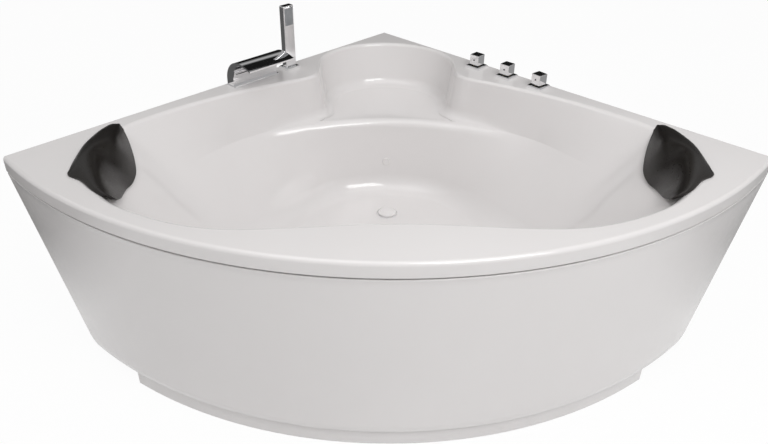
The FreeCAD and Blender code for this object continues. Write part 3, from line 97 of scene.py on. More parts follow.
# ---- skirt ----
SKIRT_THICK = 4.0
SKIRT_INSET = 2.0
SKIRT_TOP = 549.0
SKIRT_TOP_RADIUS = RIM_RADIUS - SKIRT_INSET
SKIRT_TOP_HALF = HALF_SPAN - 2 * SKIRT_INSET
FOOT_RADIUS_LESS = 112.0       # how much smaller the foot's radius is than the rim's
FOOT_SETBACK = 12.0            # how far the foot stands behind the rim in the middle
SKIRT_FOOT_RADIUS = RIM_RADIUS - FOOT_RADIUS_LESS
SKIRT_CENTRE = FRONT_REACH - FOOT_SETBACK - SKIRT_FOOT_RADIUS
SKIRT_FOOT_HALF = 880.0
SKIRT_CORNER = 27.0            # where the rounded lower corners begin
BEAD_RADIUS = 4.0
TONGUE_THICK = 3.0
TONGUE_SETBACK = 10.0
TONGUE_RISE = 26.0
PLINTH_HEIGHT = 55.0
PLINTH_HALF = 725.0
FLANGE_DEEP = 34.0
FLANGE_THICK = 3.0
FLANGE_INSET = 1.0
BAR_STEPS = 121                # mesh steps along the tongue, web and flange
SKIRT_STEPS = 181              # along the sheet and its bead
SKIRT_ROWS = 26                # down the sheet
BEAD_STEPS = 14                # round the bead
END_STEPS = (0.0006, 0.002, 0.004, 0.007, 0.010, 0.014, 0.018, 0.022, 0.026)

# ---- right pillow, lines from its back tip to its front tip: (x, v, z) ----
PILLOW_OUTER = [
    (803, 856, 602), (826, 868, 601), (842, 912, 601), (854, 972, 601), (859, 1028, 601),
    (857, 1088, 601), (852, 1138, 601), (845, 1171, 601), (806, 1198, 601), (754, 1254, 601),
    (700, 1280, 598)]
PILLOW_CROWN = [
    (802, 857, 604), (811, 880, 612), (822, 925, 621), (828, 988, 628), (834, 1040, 630),
    (833, 1094, 627), (822, 1142, 621), (806, 1178, 616), (779, 1214, 612), (743, 1257, 607),
    (699, 1280, 600)]
PILLOW_RIDGE = [
    (800, 858, 604), (795, 893, 612), (787, 948, 621), (777, 1006, 629), (784, 1055, 634),
    (794, 1092, 634), (785, 1140, 631), (772, 1186, 626), (757, 1222, 619), (731, 1262, 611),
    (697, 1280, 600)]
PILLOW_FACE = [
    (798, 859, 602), (783, 898, 602), (767, 946, 598), (752, 1000, 588), (749, 1044, 580),
    (752, 1088, 580), (749, 1136, 586), (743, 1180, 592), (732, 1216, 596), (713, 1256, 598),
    (695, 1279, 597)]
PILLOW_LOW = [
    (799, 858, 600), (775, 896, 592), (756, 926, 567), (738, 966, 542), (725, 1010, 523),
    (721, 1066, 520), (722, 1116, 530), (714, 1168, 545), (703, 1212, 562), (694, 1248, 579),
    (693, 1276, 592)]
PILLOW_STEPS = 7               # mesh steps between stations
PILLOW_ACROSS = 6              # mesh steps between the lines of a section
PILLOW_UNDER = 7               # points along the wall behind a section
PILLOW_EDGE = 5.0              # height of the edge that lies on the deck
PILLOW_EDGE_FULL = 10.0        # the edge is lower where the crown rises less than this
PILLOW_EDGE_IN = 0.05          # its share of the way in from the outer line
PILLOW_HEM = 0.12              # the hem's share of the face
PILLOW_CLIMB = 1.6             # how fast the back climbs the wall
PILLOW_DECK_SHARE = 0.8        # from here on the back lies straight on the deck
REST_GAP = 0.8                 # between a pillow and the tub
DECK_ROLL_END = 584.0          # below this height a pillow lies on the basin's wall
PILLOW_HANG = 14.0             # how far a section hangs before it reaches round the rim

# ---- camera, from the fit of the rim and skirt lines ----
IMAGE_WIDE = 768.0
FOCAL_PIXELS = 739.7
SENSOR = 36.0
CAMERA_PLACE = Vector((-0.0795, -2.087, 1.544))
CAMERA_PITCH = 0.5689
CAMERA_YAW = -0.0316
CAMERA_ROLL = 0.0157


def make_camera():
    """The photograph's viewpoint."""
    forward = Vector((-math.sin(CAMERA_YAW) * math.cos(CAMERA_PITCH),
                      math.cos(CAMERA_YAW) * math.cos(CAMERA_PITCH), -math.sin(CAMERA_PITCH)))
    level = Vector((math.cos(CAMERA_YAW), math.sin(CAMERA_YAW), 0))
    upright = level.cross(forward)
    right = level * math.cos(CAMERA_ROLL) + upright * math.sin(CAMERA_ROLL)
    above = upright * math.cos(CAMERA_ROLL) - level * math.sin(CAMERA_ROLL)
    data = bpy.data.cameras.new("camera")
    data.sensor_width = SENSOR
    data.lens = FOCAL_PIXELS / IMAGE_WIDE * SENSOR
    camera = bpy.data.objects.new("camera", data)
    turn = Matrix((right, above, -forward)).transposed()
    camera.matrix_world = Matrix.Translation(CAMERA_PLACE) @ turn.to_4x4()
    bpy.context.scene.collection.objects.link(camera)
    bpy.context.scene.camera = camera


# ---------------------------------------------------------------- materials

def new_material(name, **constants):
    """A Principled material with its constant sockets set."""
    made = bpy.data.materials.new(name)
    made.use_nodes = True
    shader = made.node_tree.nodes["Principled BSDF"]
    for socket, value in constants.items():
        shader.inputs[socket.replace("_", " ")].default_value = value
    return made, made.node_tree, shader


def place_of(tree):
    """The object's own coordinates, in metres."""
    return tree.nodes.new("ShaderNodeTexCoord").outputs["Object"]


def noise(tree, scale, detail=3.0, stretch=(1, 1, 1)):
    """A noise value over the object."""
    node = tree.nodes.new("ShaderNodeTexNoise")
    node.inputs["Scale"].default_value = scale
    node.inputs["Detail"].default_value = detail
    mapping = tree.nodes.new("ShaderNodeMapping")
    mapping.inputs["Scale"].default_value = stretch
    tree.links.new(place_of(tree), mapping.inputs["Vector"])
    tree.links.new(mapping.outputs["Vector"], node.inputs["Vector"])
    return node.outputs["Fac"]


def spread(tree, value, low, high, start=0.3, end=0.7):
    """A value moved from one range to another."""
    node = tree.nodes.new("ShaderNodeMapRange")
    node.inputs["From Min"].default_value = start
    node.inputs["From Max"].default_value = end
    node.inputs["To Min"].default_value = low
    node.inputs["To Max"].default_value = high
    tree.links.new(value, node.inputs["Value"])
    return node.outputs["Result"]


def two_tones(tree, value, first, second, start=0.3, end=0.7):
    """A colour that goes from one tone to another with a value."""
    ramp = tree.nodes.new("ShaderNodeValToRGB")
    ramp.color_ramp.elements[0].position = start
    ramp.color_ramp.elements[0].color = (*first, 1)
    ramp.color_ramp.elements[1].position = end
    ramp.color_ramp.elements[1].color = (*second, 1)
    tree.links.new(value, ramp.inputs["Fac"])
    return ramp.outputs["Color"]


def bump(tree, shader, height, strength, distance, after=None):
    """A bump from a height value."""
    node = tree.nodes.new("ShaderNodeBump")
    node.inputs["Strength"].default_value = strength
    node.inputs["Distance"].default_value = distance
    tree.links.new(height, node.inputs["Height"])
    if after is not None:
        tree.links.new(after, node.inputs["Normal"])
    tree.links.new(node.outputs["Normal"], shader.inputs["Normal"])
    return node.outputs["Normal"]


def acrylic(name, tone, darker, gloss):
    """Glossy sanitary acrylic with faint waviness and a slight change of tone."""
    made, tree, shader = new_material(name, IOR=1.49, Coat_Weight=0.35, Coat_Roughness=0.04)
    tree.links.new(two_tones(tree, noise(tree, scale=2.2), darker, tone),
                   shader.inputs["Base Color"])
    tree.links.new(spread(tree, noise(tree, scale=60, detail=5), low=gloss * 0.8, high=gloss * 1.3),
                   shader.inputs["Roughness"])
    waves = bump(tree, shader, noise(tree, scale=9, detail=1), strength=0.12, distance=0.0015)
    bump(tree, shader, noise(tree, scale=500, detail=2), strength=0.01, distance=0.0002,
         after=waves)
    return made


def chrome(name):
    """Mirror plating with hairline wear."""
    made, tree, shader = new_material(name, Metallic=1.0, Base_Color=(0.90, 0.90, 0.91, 1))
    tree.links.new(spread(tree, noise(tree, scale=120, detail=6), low=0.03, high=0.09),
                   shader.inputs["Roughness"])
    bump(tree, shader, noise(tree, scale=1500, detail=3, stretch=(1, 1, 0.06)), strength=0.03,
         distance=0.0001)
    return made


def plain_metal(name, tone, darker, rough, scale=300):
    """Cast, turned or galvanised metal."""
    made, tree, shader = new_material(name, Metallic=1.0)
    tree.links.new(two_tones(tree, noise(tree, scale=scale * 0.12, detail=6), darker, tone),
                   shader.inputs["Base Color"])
    tree.links.new(spread(tree, noise(tree, scale=scale, detail=4), low=rough * 0.7,
                          high=rough * 1.35), shader.inputs["Roughness"])
    bump(tree, shader, noise(tree, scale=scale * 4, detail=3), strength=0.12, distance=0.0003)
    return made


def moulded(name, tone, darker, rough, grain=1400):
    """Moulded plastic or rubber with a fine grain."""
    made, tree, shader = new_material(name, IOR=1.47)
    tree.links.new(two_tones(tree, noise(tree, scale=25, detail=4), darker, tone),
                   shader.inputs["Base Color"])
    tree.links.new(spread(tree, noise(tree, scale=180, detail=4), low=rough * 0.8,
                          high=rough * 1.2), shader.inputs["Roughness"])
    bump(tree, shader, noise(tree, scale=grain, detail=2), strength=0.12, distance=0.0002)
    return made


def assign(names, made):
    """Gives CAD nodes a material."""
    for name in names:
        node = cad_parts[name]
        node.data.materials.clear()
        node.data.materials.append(made)


# ---------------------------------------------------------------- plan outlines

def at(x, v, z):
    """The frame's point for a plan place and a height, all in millimetres."""
    return Vector((x * MM, (V_MID - v) * MM, z * MM))


def moved_in(station, inset):
    """A station moved towards the inside of its outline."""
    x, v, heading = station
    inward = math.radians(heading + 90.0)
    return (x + inset * math.cos(inward), v + inset * math.sin(inward), heading)


def between(first, second, share):
    """A station part of the way from one to another."""
    return tuple(a + (b - a) * share for a, b in zip(first, second))


def stretch_points(first, second):
    """Points on the curve that joins two stations along their headings."""
    chord = math.hypot(second[0] - first[0], second[1] - first[1])
    reach = chord / (3.0 * math.cos(math.radians(second[2] - first[2]) / 4.0) ** 2)
    start, end = math.radians(first[2]), math.radians(second[2])
    poles = np.array([
        first[:2], (first[0] + reach * math.cos(start), first[1] + reach * math.sin(start)),
        (second[0] - reach * math.cos(end), second[1] - reach * math.sin(end)), second[:2]])
    t = (np.arange(KNOTS) / KNOTS)[:, None]
    weights = np.hstack([(1 - t) ** 3, 3 * t * (1 - t) ** 2, 3 * t * t * (1 - t), t ** 3])
    return weights @ poles


def smooth_loop(points):
    """A periodic cubic spline through points, sampled FINE times between each pair."""
    count = len(points)
    steps = np.linalg.norm(np.roll(points, -1, 0) - points, axis=1)
    before = np.roll(steps, 1)
    matrix = np.zeros((count, count))
    rows = np.arange(count)
    matrix[rows, rows] = 2 * (before + steps)
    matrix[rows, (rows - 1) % count] = steps
    matrix[rows, (rows + 1) % count] = before
    ahead = (np.roll(points, -1, 0) - points) / steps[:, None]
    behind = np.roll(ahead, 1, 0)
    slopes = np.linalg.solve(matrix, 3 * (steps[:, None] * behind + before[:, None] * ahead))
    made = []
    for k in range(count):
        p0, p1 = points[k], points[(k + 1) % count]
        m0, m1 = slopes[k] * steps[k], slopes[(k + 1) % count] * steps[k]
        for t in np.arange(FINE) / FINE:
            made.append((2 * t ** 3 - 3 * t ** 2 + 1) * p0 + (t ** 3 - 2 * t ** 2 + t) * m0
                        + (3 * t ** 2 - 2 * t ** 3) * p1 + (t ** 3 - t ** 2) * m1)
    return np.array(made)


def outline_loop(stations):
    """A closed loop through a half outline and its mirror image."""
    half = [p for first, second in zip(stations, stations[1:])
            for p in stretch_points(first, second)]
    half.append(np.array(stations[-1][:2], float))
    mirrored = [np.array((-p[0], p[1])) for p in reversed(half[1:-1])]
    return smooth_loop(np.array(half + mirrored))


def basin_levels(skin, steps):
    """(nominal depth, depth, inset, tilt inset, zone) down the basin; skin is 0 inside."""
    angles = [math.radians(90.0 * k / steps) for k in range(steps + 1)]
    levels = []

    def add(depth, inset, tilt, zone):
        levels.append((depth, depth + skin * math.sin(tilt), inset, -skin * math.cos(tilt), zone))

    for a in reversed(angles):
        add(OPENING_ROLL * (1 - math.sin(a)), -OPENING_ROLL * (1 - math.cos(a)), a, "rim")
    for k in range(1, PAN_ROWS):
        deep = OPENING_ROLL + (SEAT_DEPTH - SEAT_FILLET - OPENING_ROLL) * k / PAN_ROWS
        add(deep, 0.0, 0.0, "pan")
    for a in angles:
        add(SEAT_DEPTH - SEAT_FILLET + SEAT_FILLET * math.sin(a), SEAT_FILLET * (1 - math.cos(a)),
            a, "pan")
    for a in reversed(angles):
        add(SEAT_DEPTH + SEAT_FALL + EDGE_FILLET * (1 - math.sin(a)),
            -EDGE_FILLET * (1 - math.cos(a)), a, "ledge")
    high = SEAT_DEPTH + SEAT_FALL + EDGE_FILLET
    for k in range(1, WALL_ROWS):
        add(high + (BASIN_DEPTH - FLOOR_FILLET - high) * k / WALL_ROWS, 0.0, 0.0, "ledge")
    for a in angles:
        add(BASIN_DEPTH - FLOOR_FILLET + FLOOR_FILLET * math.sin(a),
            FLOOR_FILLET * (1 - math.cos(a)), a, "floor")
    return levels


def level_stations(level, skin):
    """The half outline of one level."""
    nominal, depth, inset, tilt_inset, zone = level
    stations = []
    for k, (rim, floor) in enumerate(zip(RIM_OUTLINE, FLOOR_OUTLINE)):
        if k >= SEAT_STATIONS:
            wall = between(rim, floor, depth / BASIN_DEPTH)
            rounded = 0.0
        elif zone in ("rim", "pan"):
            wall = between(rim, PAN_OUTLINE[k], nominal / SEAT_DEPTH)
            rounded = FILLET_SHARES[k]
        else:
            share = (nominal - SEAT_DEPTH) / (BASIN_DEPTH - SEAT_DEPTH)
            wall = between(LEDGE_OUTLINE[k], floor, share)
            rounded = FILLET_SHARES[k]
        if zone in ("rim", "floor"):
            rounded = 1.0
        stations.append(moved_in(wall, (inset + tilt_inset) * rounded - skin * (1 - rounded)))
    return stations


def basin_rings(skin, steps):
    """Loops of frame points down the basin, each with its height."""
    rings = []
    for level in basin_levels(skin, steps):
        loop = outline_loop(level_stations(level, skin))
        rings.append([at(x, v, RIM_HEIGHT - level[1]) for x, v in loop])
    return rings


# ---------------------------------------------------------------- rim outline

def rim_loop(arc_inset, wall_inset, arc_depth, wall_depth):
    """A loop round the rim, moved in and down by its own amounts on the arc and on the walls."""
    shift = wall_inset * ROOT2
    radius = RIM_RADIUS - arc_inset
    rise = shift - RIM_CENTRE
    x_end = (-rise + math.sqrt(2.0 * radius ** 2 - rise ** 2)) / 2.0
    trim = max(LIP_CORNER * CORNER_EASE - wall_inset, LEAST_CORNER)
    half_angle = math.asin(x_end / radius) - trim / radius
    line_end = x_end - trim / ROOT2
    right = []
    for k in range(WALL_STEPS):
        x = line_end * k / WALL_STEPS
        right.append((x, x + shift, 0.0))
    start = (line_end, line_end + shift)
    end = (radius * math.sin(half_angle), RIM_CENTRE + radius * math.cos(half_angle))
    for k in range(CORNER_STEPS):
        t = k / CORNER_STEPS
        corner = (x_end, x_end + shift)
        right.append(tuple((1 - t) ** 2 * s + 2 * t * (1 - t) * c + t * t * e
                           for s, c, e in zip(start, corner, end)) + (t,))
    front = []
    for k in range(ARC_STEPS + 1):
        turn = half_angle * (1 - 2.0 * k / ARC_STEPS)
        front.append((radius * math.sin(turn), RIM_CENTRE + radius * math.cos(turn), 1.0))
    left = [(-x, v, w) for x, v, w in reversed(right[1:])]
    return [at(x, v, RIM_HEIGHT - (arc_depth * w + wall_depth * (1 - w)))
            for x, v, w in right + front + left]


# ---------------------------------------------------------------- mesh helpers

WELD = 1e-5                    # vertices nearer than this become one, in metres
NORMAL_WEIGHT = 60


def add_loop(mesh, points):
    """Adds a loop of vertices."""
    return [mesh.verts.new(p) for p in points]


def bridge(mesh, first, second):
    """Joins two loops of as many vertices with quads."""
    count = len(first)
    for k in range(count):
        n = (k + 1) % count
        mesh.faces.new((first[k], first[n], second[n], second[k]))


def fill(mesh, *loops):
    """Fills the flat space between loops."""
    edges = []
    for loop in loops:
        for k in range(len(loop)):
            a, b = loop[k], loop[(k + 1) % len(loop)]
            edges.append(mesh.edges.get((a, b)) or mesh.edges.new((a, b)))
    bmesh.ops.triangle_fill(mesh, use_beauty=True, edges=edges)


def finish_mesh(mesh, name, made, body, replaced=()):
    """Turns a bmesh into a smooth-shaded piece that rides on a body."""
    bmesh.ops.remove_doubles(mesh, verts=mesh.verts, dist=WELD)
    bmesh.ops.recalc_face_normals(mesh, faces=mesh.faces)
    for face in mesh.faces:
        face.smooth = True
    data = bpy.data.meshes.new(name)
    mesh.to_mesh(data)
    mesh.free()
    piece = bpy.data.objects.new(name, data)
    bpy.context.scene.collection.objects.link(piece)
    data.materials.append(made)
    weighted = piece.modifiers.new("weighted", "WEIGHTED_NORMAL")
    weighted.keep_sharp = True
    weighted.weight = NORMAL_WEIGHT
    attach(piece, body)
    if replaced:
        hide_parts(*replaced)
    return piece


def circle(x, v, z, radius, count=RING_POINTS):
    """A level ring of points."""
    return [at(x + radius * math.cos(2 * math.pi * k / count),
               v + radius * math.sin(2 * math.pi * k / count), z) for k in range(count)]


# ---------------------------------------------------------------- tub

def make_tub(made):
    """The acrylic tub as one closed skin: basin, deck, rolled lip, flange and underside."""
    mesh = bmesh.new()
    inner = [add_loop(mesh, ring) for ring in basin_rings(0.0, ROUND_STEPS)]
    for first, second in zip(inner, inner[1:]):
        bridge(mesh, first, second)
    floor_z = RIM_HEIGHT - BASIN_DEPTH
    drain = add_loop(mesh, circle(0, DRAIN_V, floor_z, DRAIN_HOLE))
    fill(mesh, inner[-1], drain)

    rim = []
    for k in range(ROUND_STEPS + 1):
        a = math.radians(90.0 * (1 - k / ROUND_STEPS))
        arc, wall = LIP_ROLL * (1 - math.cos(a)), WALL_BEVEL * (1 - math.cos(a))
        rim.append(add_loop(mesh, rim_loop(
            arc, wall, LIP_ROLL * (1 - math.sin(a)), WALL_BEVEL * (1 - math.sin(a)))))
    lip_foot = LIP_HEIGHT - LIP_EDGE
    for sizes in ((0, 0, lip_foot, lip_foot), (LIP_EDGE, LIP_EDGE, LIP_HEIGHT, LIP_HEIGHT),
                  (SHELL, SHELL, LIP_HEIGHT, LIP_HEIGHT), (SHELL, SHELL, LIP_ROLL, SHELL),
                  (LIP_ROLL, SHELL, SHELL, SHELL)):
        rim.append(add_loop(mesh, rim_loop(*sizes)))
    for first, second in zip(rim, rim[1:]):
        bridge(mesh, first, second)
    fill(mesh, inner[0], rim[0])

    outer = [add_loop(mesh, ring) for ring in basin_rings(SHELL, OUTER_STEPS)]
    for first, second in zip(outer, outer[1:]):
        bridge(mesh, first, second)
    fill(mesh, rim[-1], outer[0])
    under = add_loop(mesh, circle(0, DRAIN_V, floor_z - SHELL, DRAIN_HOLE))
    fill(mesh, outer[-1], under)
    bridge(mesh, drain, under)
    return finish_mesh(mesh, "tub", made, "tub", ["tub_shell"])


# ---------------------------------------------------------------- skirt

def arc_spot(centre, radius, depth, half, t, z):
    """A point of a level arc, moved in by a depth; t runs from -1 at its left end to 1."""
    turn = t * math.asin(half / radius)
    return at((radius - depth) * math.sin(turn), centre + (radius - depth) * math.cos(turn), z)


def sweep(mesh, rings):
    """A closed skin through closed rings of points, with a face at each end."""
    loops = [add_loop(mesh, ring) for ring in rings]
    for first, second in zip(loops, loops[1:]):
        bridge(mesh, first, second)
    mesh.faces.new(loops[0])
    mesh.faces.new(loops[-1])


def arc_bar(mesh, centre, outer, inner, half, low, high):
    """A level curved bar of rectangular section."""
    rings = []
    for t in np.linspace(-1, 1, BAR_STEPS):
        corners = ((0.0, low), (0.0, high), (outer - inner, high), (outer - inner, low))
        rings.append([arc_spot(centre, outer, depth, half, t, z) for depth, z in corners])
    sweep(mesh, rings)


def sheet_spot(t, share, depth):
    """A point of the falling sheet: t along it, a share of the way down, a depth behind its face."""
    top = arc_spot(RIM_CENTRE, SKIRT_TOP_RADIUS, depth, SKIRT_TOP_HALF, t, SKIRT_TOP)
    foot = arc_spot(SKIRT_CENTRE, SKIRT_FOOT_RADIUS, depth, SKIRT_FOOT_HALF, t, PLINTH_HEIGHT)
    return top.lerp(foot, share)


def skirt_sheet(mesh):
    """The falling sheet, with its rounded lower corners."""
    foot_long = SKIRT_FOOT_RADIUS * math.asin(SKIRT_FOOT_HALF / SKIRT_FOOT_RADIUS)
    fall = SKIRT_TOP - PLINTH_HEIGHT
    columns = set(np.linspace(-1, 1, SKIRT_STEPS))
    columns.update([1 - e for e in END_STEPS] + [e - 1 for e in END_STEPS])
    rings = []
    for t in sorted(columns):
        inside = max(0.0, SKIRT_CORNER - (1 - abs(t)) * foot_long)
        rise = SKIRT_CORNER - math.sqrt(SKIRT_CORNER ** 2 - inside ** 2)
        shares = np.linspace(0, 1 - rise / fall, SKIRT_ROWS)
        rings.append([sheet_spot(t, share, 0.0) for share in shares]
                     + [sheet_spot(t, share, SKIRT_THICK) for share in reversed(shares)])
    sweep(mesh, rings)


def skirt_bead(mesh):
    """The round bead along the sheet's top."""
    turns = 2 * math.pi * np.arange(BEAD_STEPS) / BEAD_STEPS
    rings = []
    for t in np.linspace(-1, 1, SKIRT_STEPS):
        rings.append([arc_spot(RIM_CENTRE, SKIRT_TOP_RADIUS, BEAD_RADIUS * (1 - math.cos(a)),
                               SKIRT_TOP_HALF, t, SKIRT_TOP + BEAD_RADIUS * math.sin(a))
                      for a in turns])
    sweep(mesh, rings)


def make_skirt(made):
    """The curved front panel: falling sheet with its bead, tongue, web and foot flange."""
    mesh = bmesh.new()
    skirt_sheet(mesh)
    skirt_bead(mesh)
    tongue = RIM_RADIUS - TONGUE_SETBACK
    tongue_half = HALF_SPAN - 4 * TONGUE_SETBACK
    web_low = SKIRT_TOP - BEAD_RADIUS
    arc_bar(mesh, RIM_CENTRE, tongue, tongue - TONGUE_THICK, tongue_half, web_low,
            SKIRT_TOP + TONGUE_RISE)
    arc_bar(mesh, RIM_CENTRE, SKIRT_TOP_RADIUS - BEAD_RADIUS, tongue, tongue_half, web_low,
            web_low + TONGUE_THICK)
    arc_bar(mesh, SKIRT_CENTRE, SKIRT_FOOT_RADIUS - FLANGE_INSET, SKIRT_FOOT_RADIUS - FLANGE_DEEP,
            PLINTH_HALF, PLINTH_HEIGHT, PLINTH_HEIGHT + FLANGE_THICK)
    return finish_mesh(mesh, "skirt", made, "tub", ["skirt_panel"])


# ---------------------------------------------------------------- pillows

def through(points, steps):
    """A smooth open curve through points, sampled evenly between each pair."""
    points = np.array(points, float)
    ends = np.vstack([2 * points[0] - points[1], points, 2 * points[-1] - points[-2]])
    sampled = []
    for k in range(len(points) - 1):
        p0, p1, p2, p3 = ends[k:k + 4]
        for t in np.arange(steps) / steps:
            sampled.append(0.5 * (2 * p1 + (p2 - p0) * t + (2 * p0 - 5 * p1 + 4 * p2 - p3) * t ** 2
                                  + (3 * p1 - p0 - 3 * p2 + p3) * t ** 3))
    sampled.append(points[-1])
    return np.array(sampled)


def wall_x(v, z):
    """How far right the basin's wall stands at a plan distance and a height."""
    share = (RIM_HEIGHT - z) / BASIN_DEPTH
    stations = [between(rim, floor, share)
                for rim, floor in zip(RIM_OUTLINE[SEAT_STATIONS:-1], FLOOR_OUTLINE[SEAT_STATIONS:-1])]
    line = np.vstack([stretch_points(a, b) for a, b in zip(stations, stations[1:])])
    return float(np.interp(v, line[:, 1], line[:, 0]))


def clear_of_tub(point):
    """The point, moved out of the tub where it would sink into it."""
    x, v, z = point
    if z > RIM_HEIGHT + REST_GAP:
        return point
    edge = wall_x(v, RIM_HEIGHT)
    if x > edge and z > DECK_ROLL_END:
        across = max(0.0, 1 - (x - edge) / OPENING_ROLL)
        deck = RIM_HEIGHT - OPENING_ROLL * (1 - math.sqrt(1 - across ** 2))
        return np.array((x, v, max(z, deck + REST_GAP)))
    return np.array((min(x, wall_x(v, z) - REST_GAP), v, z))


def pillow_ring(outer, crown, ridge, face, low):
    """One closed section of the right pillow: over its top, down its face, back up the wall."""
    edge_height = PILLOW_EDGE * min(1.0, (crown - outer)[2] / PILLOW_EDGE_FULL)
    edge = outer + (crown - outer) * PILLOW_EDGE_IN + (0, 0, edge_height)
    hem = low + (face - low) * PILLOW_HEM
    over = list(through([outer, edge, crown, ridge, face, hem, low], PILLOW_ACROSS))
    hangs = min(1.0, max(0.0, (RIM_HEIGHT - low[2]) / PILLOW_HANG))
    under = []
    for w in np.arange(1, PILLOW_UNDER + 1) / (PILLOW_UNDER + 1):
        straight = low + (outer - low) * w
        v = straight[1]
        z = low[2] + (RIM_HEIGHT - low[2]) * min(1.0, PILLOW_CLIMB * w)
        behind = np.array((wall_x(v, z) - REST_GAP, v, z))
        if w > PILLOW_DECK_SHARE:
            behind = straight
        under.append(straight + (behind - straight) * hangs)
    return [clear_of_tub(p) for p in over + under]


def make_pillow(name, side, made):
    """A head pillow of moulded foam: it lies on the deck and hangs over the backrest."""
    mesh = bmesh.new()
    lines = [through(line, PILLOW_STEPS)
             for line in (PILLOW_OUTER, PILLOW_CROWN, PILLOW_RIDGE, PILLOW_FACE, PILLOW_LOW)]
    rings = [[at(side * p[0], p[1], p[2]) for p in pillow_ring(*section)]
             for section in zip(*lines)]
    sweep(mesh, rings)
    bmesh.ops.smooth_vert(mesh, verts=mesh.verts, factor=0.5, use_axis_x=True, use_axis_y=True,
                          use_axis_z=True)
    piece = finish_mesh(mesh, name + "_foam", made, "tub", [name])
    return piece


# ---------------------------------------------------------------- stage

WORLD_GLOW = 0.42              # how bright the surroundings are
FLOOR_GLOW = 0.955             # how much of the floor's white needs no lamp
FLOOR_TONE = 0.86
FLOOR_SIZE = 30.0
FLOOR_DROP = 0.0005            # keeps the floor just under the feet
CARD_EDGE = 0.3                # share of a card over which it fades out
CARD_LIFT = 0.003              # of the cards that lie on the floor
UPRIGHT = (math.pi / 2, 0, 0)
FLAT = (0, 0, 0)
LAMPS = [                      # name, place, what it faces, size, watts
    ("key", (1.1, -2.1, 2.9), (0.1, -0.3, 0.5), (1.7, 1.3), 44),
    ("fill", (-1.6, -1.6, 3.4), (-0.3, -0.3, 0.5), (3.0, 3.0), 12),
    ("top", (0, -1.0, 3.6), (0, -0.4, 0.4), (3.0, 2.4), 27)]
CARDS = [                      # name, place, size, turn, how bright it is, and what is around it
    ("back_card_low", (0, 3.2, 1.1), (12.0, 2.3), UPRIGHT, 0.01, WORLD_GLOW),
    ("back_card_high", (0, 3.2, 3.6), (12.0, 2.4), UPRIGHT, 0.01, WORLD_GLOW),
    ("left_card", (-2.6, 0.5, CARD_LIFT), (3.4, 3.8), FLAT, 0.10, FLOOR_GLOW),
    ("right_card", (2.6, 0.4, CARD_LIFT), (3.4, 4.0), FLAT, 0.30, FLOOR_GLOW)]


def added(tree, first, second):
    """The sum of two values, at most 1."""
    node = tree.nodes.new("ShaderNodeMath")
    node.operation = "ADD"
    node.use_clamp = True
    tree.links.new(first, node.inputs[0])
    tree.links.new(second, node.inputs[1])
    return node.outputs[0]


def make_floor():
    """A white floor that keeps the object's shadow."""
    made, tree, shader = new_material("floor", Roughness=0.9, Specular_IOR_Level=0.1,
                                      Base_Color=(FLOOR_TONE, FLOOR_TONE, FLOOR_TONE, 1))
    glow = tree.nodes.new("ShaderNodeEmission")
    mix = tree.nodes.new("ShaderNodeMixShader")
    path = tree.nodes.new("ShaderNodeLightPath")
    seen = added(tree, path.outputs["Is Camera Ray"], path.outputs["Is Glossy Ray"])
    seen = added(tree, seen, path.outputs["Is Transmission Ray"])
    share = tree.nodes.new("ShaderNodeMath")
    share.operation = "MULTIPLY"
    share.inputs[1].default_value = FLOOR_GLOW
    tree.links.new(seen, share.inputs[0])
    tree.links.new(share.outputs[0], mix.inputs["Fac"])
    tree.links.new(shader.outputs["BSDF"], mix.inputs[1])
    tree.links.new(glow.outputs["Emission"], mix.inputs[2])
    tree.links.new(mix.outputs["Shader"], tree.nodes["Material Output"].inputs["Surface"])
    bpy.ops.mesh.primitive_plane_add(size=FLOOR_SIZE, location=(0, 0, -FLOOR_DROP))
    floor = bpy.context.object
    floor.name = "floor"
    floor.data.materials.append(made)


def make_world():
    """Soft surroundings; the background is white to the camera."""
    world = bpy.data.worlds.new("studio")
    bpy.context.scene.world = world
    world.use_nodes = True
    tree = world.node_tree
    tree.nodes.clear()
    out = tree.nodes.new("ShaderNodeOutputWorld")
    light = tree.nodes.new("ShaderNodeBackground")
    light.inputs["Color"].default_value = (1.0, 0.99, 0.985, 1)
    light.inputs["Strength"].default_value = WORLD_GLOW
    white = tree.nodes.new("ShaderNodeBackground")
    white.inputs["Color"].default_value = (1, 1, 1, 1)
    mix = tree.nodes.new("ShaderNodeMixShader")
    path = tree.nodes.new("ShaderNodeLightPath")
    tree.links.new(path.outputs["Is Camera Ray"], mix.inputs["Fac"])
    tree.links.new(light.outputs["Background"], mix.inputs[1])
    tree.links.new(white.outputs["Background"], mix.inputs[2])
    tree.links.new(mix.outputs["Shader"], out.inputs["Surface"])


def area_light(name, place, target, size, power):
    """A soft box that faces a point."""
    data = bpy.data.lights.new(name, "AREA")
    data.shape = "RECTANGLE"
    data.size, data.size_y = size
    data.energy = power
    lamp = bpy.data.objects.new(name, data)
    lamp.location = place
    lamp.rotation_euler = (Vector(target) - Vector(place)).to_track_quat("-Z", "Y").to_euler()
    bpy.context.scene.collection.objects.link(lamp)


